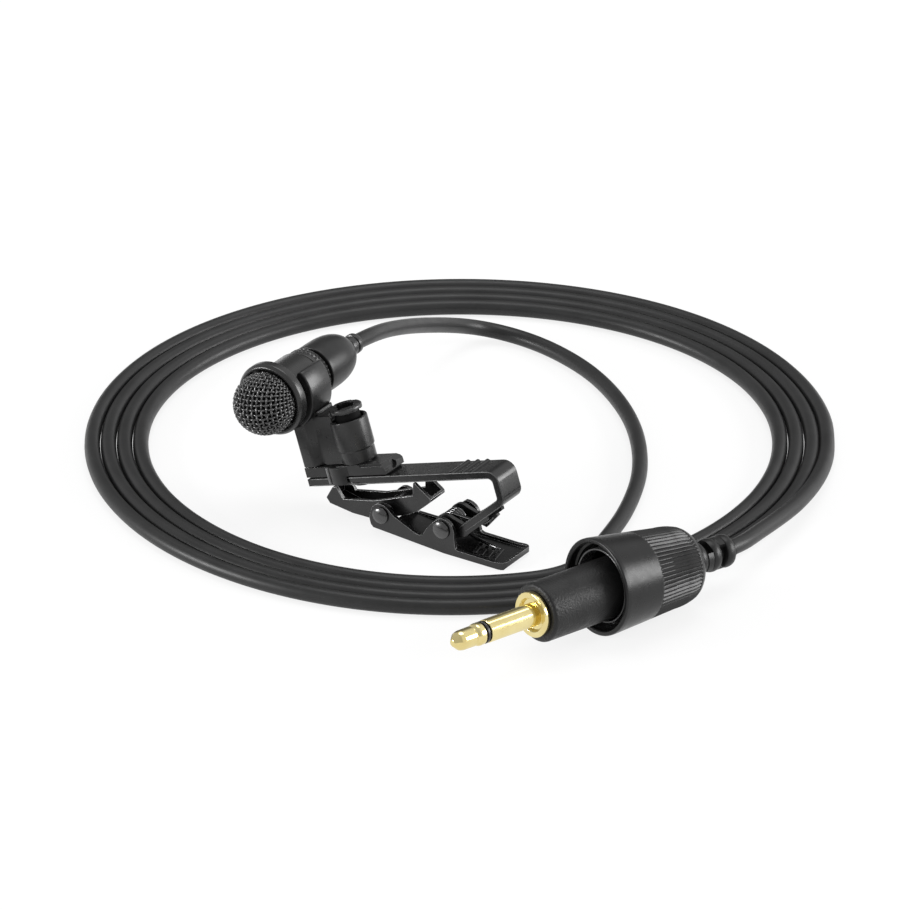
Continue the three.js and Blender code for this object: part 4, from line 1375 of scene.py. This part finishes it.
@dataclass
class Collar:
    """The loose locking collar: a smooth band, fine straight ribs, and an inside thread."""

    mouth: Point = (44.93, -15.81, 7.4)
    axis: Point = (0.3205, 0.9439, -0.0805)
    ribs: int = 64
    rib_height: float = 0.22
    rib_start: float = 7.5
    rib_end: float = 15.8
    thread_pitch: float = 0.95
    thread_height: float = 0.34
    thread_span: Span = (0.5, 3.25)
    thread_radii: Span = (5.6, 6.6)
    thread_gate: float = 0.16
    rib_floor: float = 5.42
    band_radius: float = 7.43
    band_taper: float = 0.1
    shoulder: float = 12.8
    dome_radius: float = 6.15
    dome_fall: float = 0.055

    FRONT: Outline = ((6.5, 0.35, 0.15), (6.75, 0.0, 0.12), (7.35, 0.0, 0.28), (7.36, 0.8, 0))
    LIP: Block = ((5.3, 1.0), (5.6, 3.4), 0.13)
    BACK = ((5.35, 16.4), (4.95, 16.85), (4.5, 17.1), (3.95, 17.2), (3.5, 17.2), (3.5, 16.5))
    HOLLOW: Outline = (
        (3.5, 16.5, 0), (5.4, 14.3, 0.3), (5.4, 3.3, 0.16), (5.8, 3.1, 0.16), (5.95, 3.5, 0.05),
        (6.5, 3.5, 0.1), (6.5, 0.35, 0),
    )

    def outer(self, along: Array) -> Array:
        """The outer radius: a slight taper to the shoulder, then a parabola."""
        dome = self.dome_radius - self.dome_fall * (along - self.shoulder) ** 2
        return np.where(along < self.shoulder, self.band_radius - self.band_taper * along, dome)

    def surface(self, angle: Array, along: Array, radius: Array) -> Array:
        """Cuts the ribs' grooves outside, as a rounded wave round the collar, and the thread
        inside, as a cosine that climbs one pitch a turn and is cut away in four places.

        Args:
            angle: the angle round the axis.
            along: the distance along it.
            radius: the plain radius.

        Returns:
            The radius with ribs and thread.
        """
        groove = (0.5 - 0.5 * np.cos(self.ribs * angle)) ** 0.7
        ends = np.clip((along - self.rib_start) / 0.12, 0, 1)
        ends = ends * np.clip((self.rib_end - along) / 0.25, 0, 1)
        ribbed = radius - self.rib_height * ends * groove * (radius > self.rib_floor)
        climb = 2 * math.pi * (along / self.thread_pitch) + angle
        gate = np.clip((np.abs(np.sin(2 * angle)) - self.thread_gate) / 0.1, 0, 1)
        bore, root = self.thread_radii
        inside = faded(along, self.thread_span, 0.2) * ((radius < root) & (radius > bore))
        thread = gate * inside * (0.5 + 0.5 * np.cos(climb)) ** 1.5
        return ribbed - self.thread_height * thread

    def build(self) -> list[Piece]:
        """Turns the collar and the lip inside it, whose lighter grey paints a highlight on the lip.

        Returns:
            The two pieces.
        """
        corner = ARC + 1
        along = np.linspace(0.8, 15.9, 122)
        side = np.stack([self.outer(along), along], 1)
        front, hollow = filleted(self.FRONT)[:-corner], filleted(self.HOLLOW)[corner:-corner]
        profile = refined(np.vstack([front, side, self.BACK, hollow]), longest=0.16)
        place = Place.facing(self.mouth, self.axis)
        band = Shell(place).turned(profile, segments=384, ripple=self.surface)
        lip = Shell(place).turned(rectangle(*self.LIP))
        return [
            band.piece("ribbed_collar", COLLAR_BLACK, "collar", ["locking_collar"], sharp=42),
            lip.piece("collar_inner_lip", COLLAR_LIP_HIGHLIGHT, "collar"),
        ]


# ---------------------------------------------------------------- studio


@dataclass(frozen=True)
class Lamp:
    """A soft box that faces the object: where it stands, its width and height, and its power."""

    name: str
    azimuth: float
    elevation: float
    size: Span
    watts: float


@dataclass
class Studio:
    """The camera, the lamps and the pale floor. Lengths in metres, angles in degrees.

    An azimuth is 0 in front and grows to the right.
    """

    target: Point = (-0.00338, 0.020925, 0.0)
    azimuth: float = 33.0
    elevation: float = 27.0
    distance: float = 1.5
    lens: float = 391.648
    sensor: float = 36.0
    clip: Span = (0.05, 100.0)
    lamp_distance: float = 0.8
    dim_wall: Span = (216.0, 13.0)
    bright_side: Span = (125.0, 10.0)
    plain_level: float = 0.6
    floor_half: float = 20.0
    floor_drop: float = -0.00002
    floor_glow: float = 0.8
    floor_shades: Span = (0.93, 0.96)
    patch_size: float = 250.0

    LAMPS = (
        Lamp("right_softbox", 121, 18, (0.5, 0.36), 5.4),
        Lamp("left_spot", -43, 14, (0.25, 0.25), 5.4),
        Lamp("top_softbox", 200, 74, (0.5, 0.4), 1.8),
    )

    def direction(self, azimuth: float, elevation: float) -> Vector:
        """From the object outwards, at an azimuth and an elevation."""
        a, e = math.radians(azimuth), math.radians(elevation)
        return Vector((math.sin(a) * math.cos(e), -math.cos(a) * math.cos(e), math.sin(e)))

    def hang(self, name: str, data: bpy.types.ID, outward: Vector, distance: float) -> Piece:
        """Puts a camera or a lamp in the scene, facing the object.

        Args:
            name: its name.
            data: what it is.
            outward: its direction from the object.
            distance: how far away it is.

        Returns:
            The object.
        """
        made = bpy.data.objects.new(name, data)
        made.location = Vector(self.target) + outward * distance
        made.rotation_euler = (-outward).to_track_quat("-Z", "Y").to_euler()
        bpy.context.scene.collection.objects.link(made)
        return made

    def build_camera(self) -> None:
        """Places the camera at the photograph's viewing angle."""
        data = bpy.data.cameras.new("camera")
        data.lens = self.lens
        data.sensor_width = self.sensor
        data.clip_start, data.clip_end = self.clip
        outward = self.direction(self.azimuth, self.elevation)
        bpy.context.scene.camera = self.hang("camera", data, outward, self.distance)

    def add_lamp(self, lamp: Lamp) -> None:
        """Hangs a lamp that isn't seen itself.

        Args:
            lamp: the lamp.
        """
        data = bpy.data.lights.new(lamp.name, "AREA")
        data.shape = "RECTANGLE"
        data.size, data.size_y = lamp.size
        data.energy = lamp.watts
        outward = self.direction(lamp.azimuth, lamp.elevation)
        self.hang(lamp.name, data, outward, self.lamp_distance).visible_camera = False

    def towards(self, nodes: Nodes, middle: Span, near: Span, levels: Span) -> Socket:
        """A level that changes smoothly towards a direction.

        Args:
            nodes: the world's nodes.
            middle: the direction's azimuth and elevation.
            near: the cosines of the angle to it between which the level changes.
            levels: the levels outside and inside.

        Returns:
            The level's socket.
        """
        view = nodes.add("ShaderNodeTexCoord", output="Generated")
        values = {0: view, 1: self.direction(*middle)}
        cosine = nodes.add("ShaderNodeVectorMath", values, "Value", operation="DOT_PRODUCT")
        return nodes.stretched(cosine, near, levels, interpolation_type="SMOOTHSTEP")

    def build_world(self) -> None:
        """A white surround as it is seen, with a dim wall behind the object, and a plain grey one
        as it lights."""
        world = bpy.data.worlds.new("surround")
        world.use_nodes = True
        nodes = Nodes(world.node_tree)
        wall = self.towards(nodes, self.dim_wall, (0.84, 0.97), (1.0, 0.3))
        bright = self.towards(nodes, self.bright_side, (0.1, 0.8), (0.6, 1.0))
        camera = nodes.add("ShaderNodeLightPath", output="Is Camera Ray")
        seen = nodes.combine("MAXIMUM", nodes.combine("MULTIPLY", wall, bright), camera)
        level = nodes.add("ShaderNodeMix", {0: nodes.seen_directly(), 2: self.plain_level, 3: seen})
        background = nodes.tree.nodes["Background"]
        nodes.fill(background, {"Color": (1, 1, 1, 1), "Strength": level})
        bpy.context.scene.world = world

    def build_floor(self) -> None:
        """A wide pale floor: mostly a plain white as it is seen, with enough of its own shading to
        hold shadows."""
        corners = self.floor_half * np.array([(-1, -1, 0), (1, -1, 0), (1, 1, 0), (-1, 1, 0)])
        mesh = bpy.data.meshes.new("floor")
        mesh.from_pydata((corners + [0, 0, self.floor_drop]).tolist(), [], [(0, 1, 2, 3)])
        sheet = NodeSheet("pale_floor")
        tone = sheet.noise(self.patch_size, detail=3)
        tone = sheet.stretched(tone, sheet.noise_span, (0, 1))
        shades = [(shade, shade, shade) for shade in self.floor_shades]
        values = {
            "Base Color": sheet.blend(tone, *shades), "Roughness": 0.9, "Specular IOR Level": 0.1,
        }
        sheet.fill(sheet.shader, values)
        glow = sheet.add("ShaderNodeEmission", {"Color": (1, 1, 1, 1), "Strength": 1.0})
        share = sheet.combine("MULTIPLY", sheet.seen_directly(), self.floor_glow)
        own = sheet.shader.outputs["BSDF"]
        surface = sheet.add("ShaderNodeMixShader", {0: share, 1: own, 2: glow})
        sheet.fill(sheet.tree.nodes["Material Output"], {"Surface": surface})
        mesh.materials.append(sheet.material)
        floor = bpy.data.objects.new("floor", mesh)
        bpy.context.scene.collection.objects.link(floor)

    def build(self) -> None:
        """Sets up floor, surround and lamps."""
        bpy.context.scene.view_settings.view_transform = "Standard"
        self.build_world()
        self.build_floor()
        for lamp in self.LAMPS:
            self.add_lamp(lamp)


def main() -> None:
    """Builds the camera, the cable, the microphone, the clip, the plug, the collar and the studio,
   ."""
    logging.basicConfig(level=logging.INFO, format="%(message)s")
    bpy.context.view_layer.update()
    studio = Studio()
    studio.build_camera()
    cable = Cable()
    cord = cable.build()
    Microphone().build()
    Clip().build()
    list(Plug().build())
    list(Collar().build())
    studio.build()


if __name__ == "__main__":
    main()
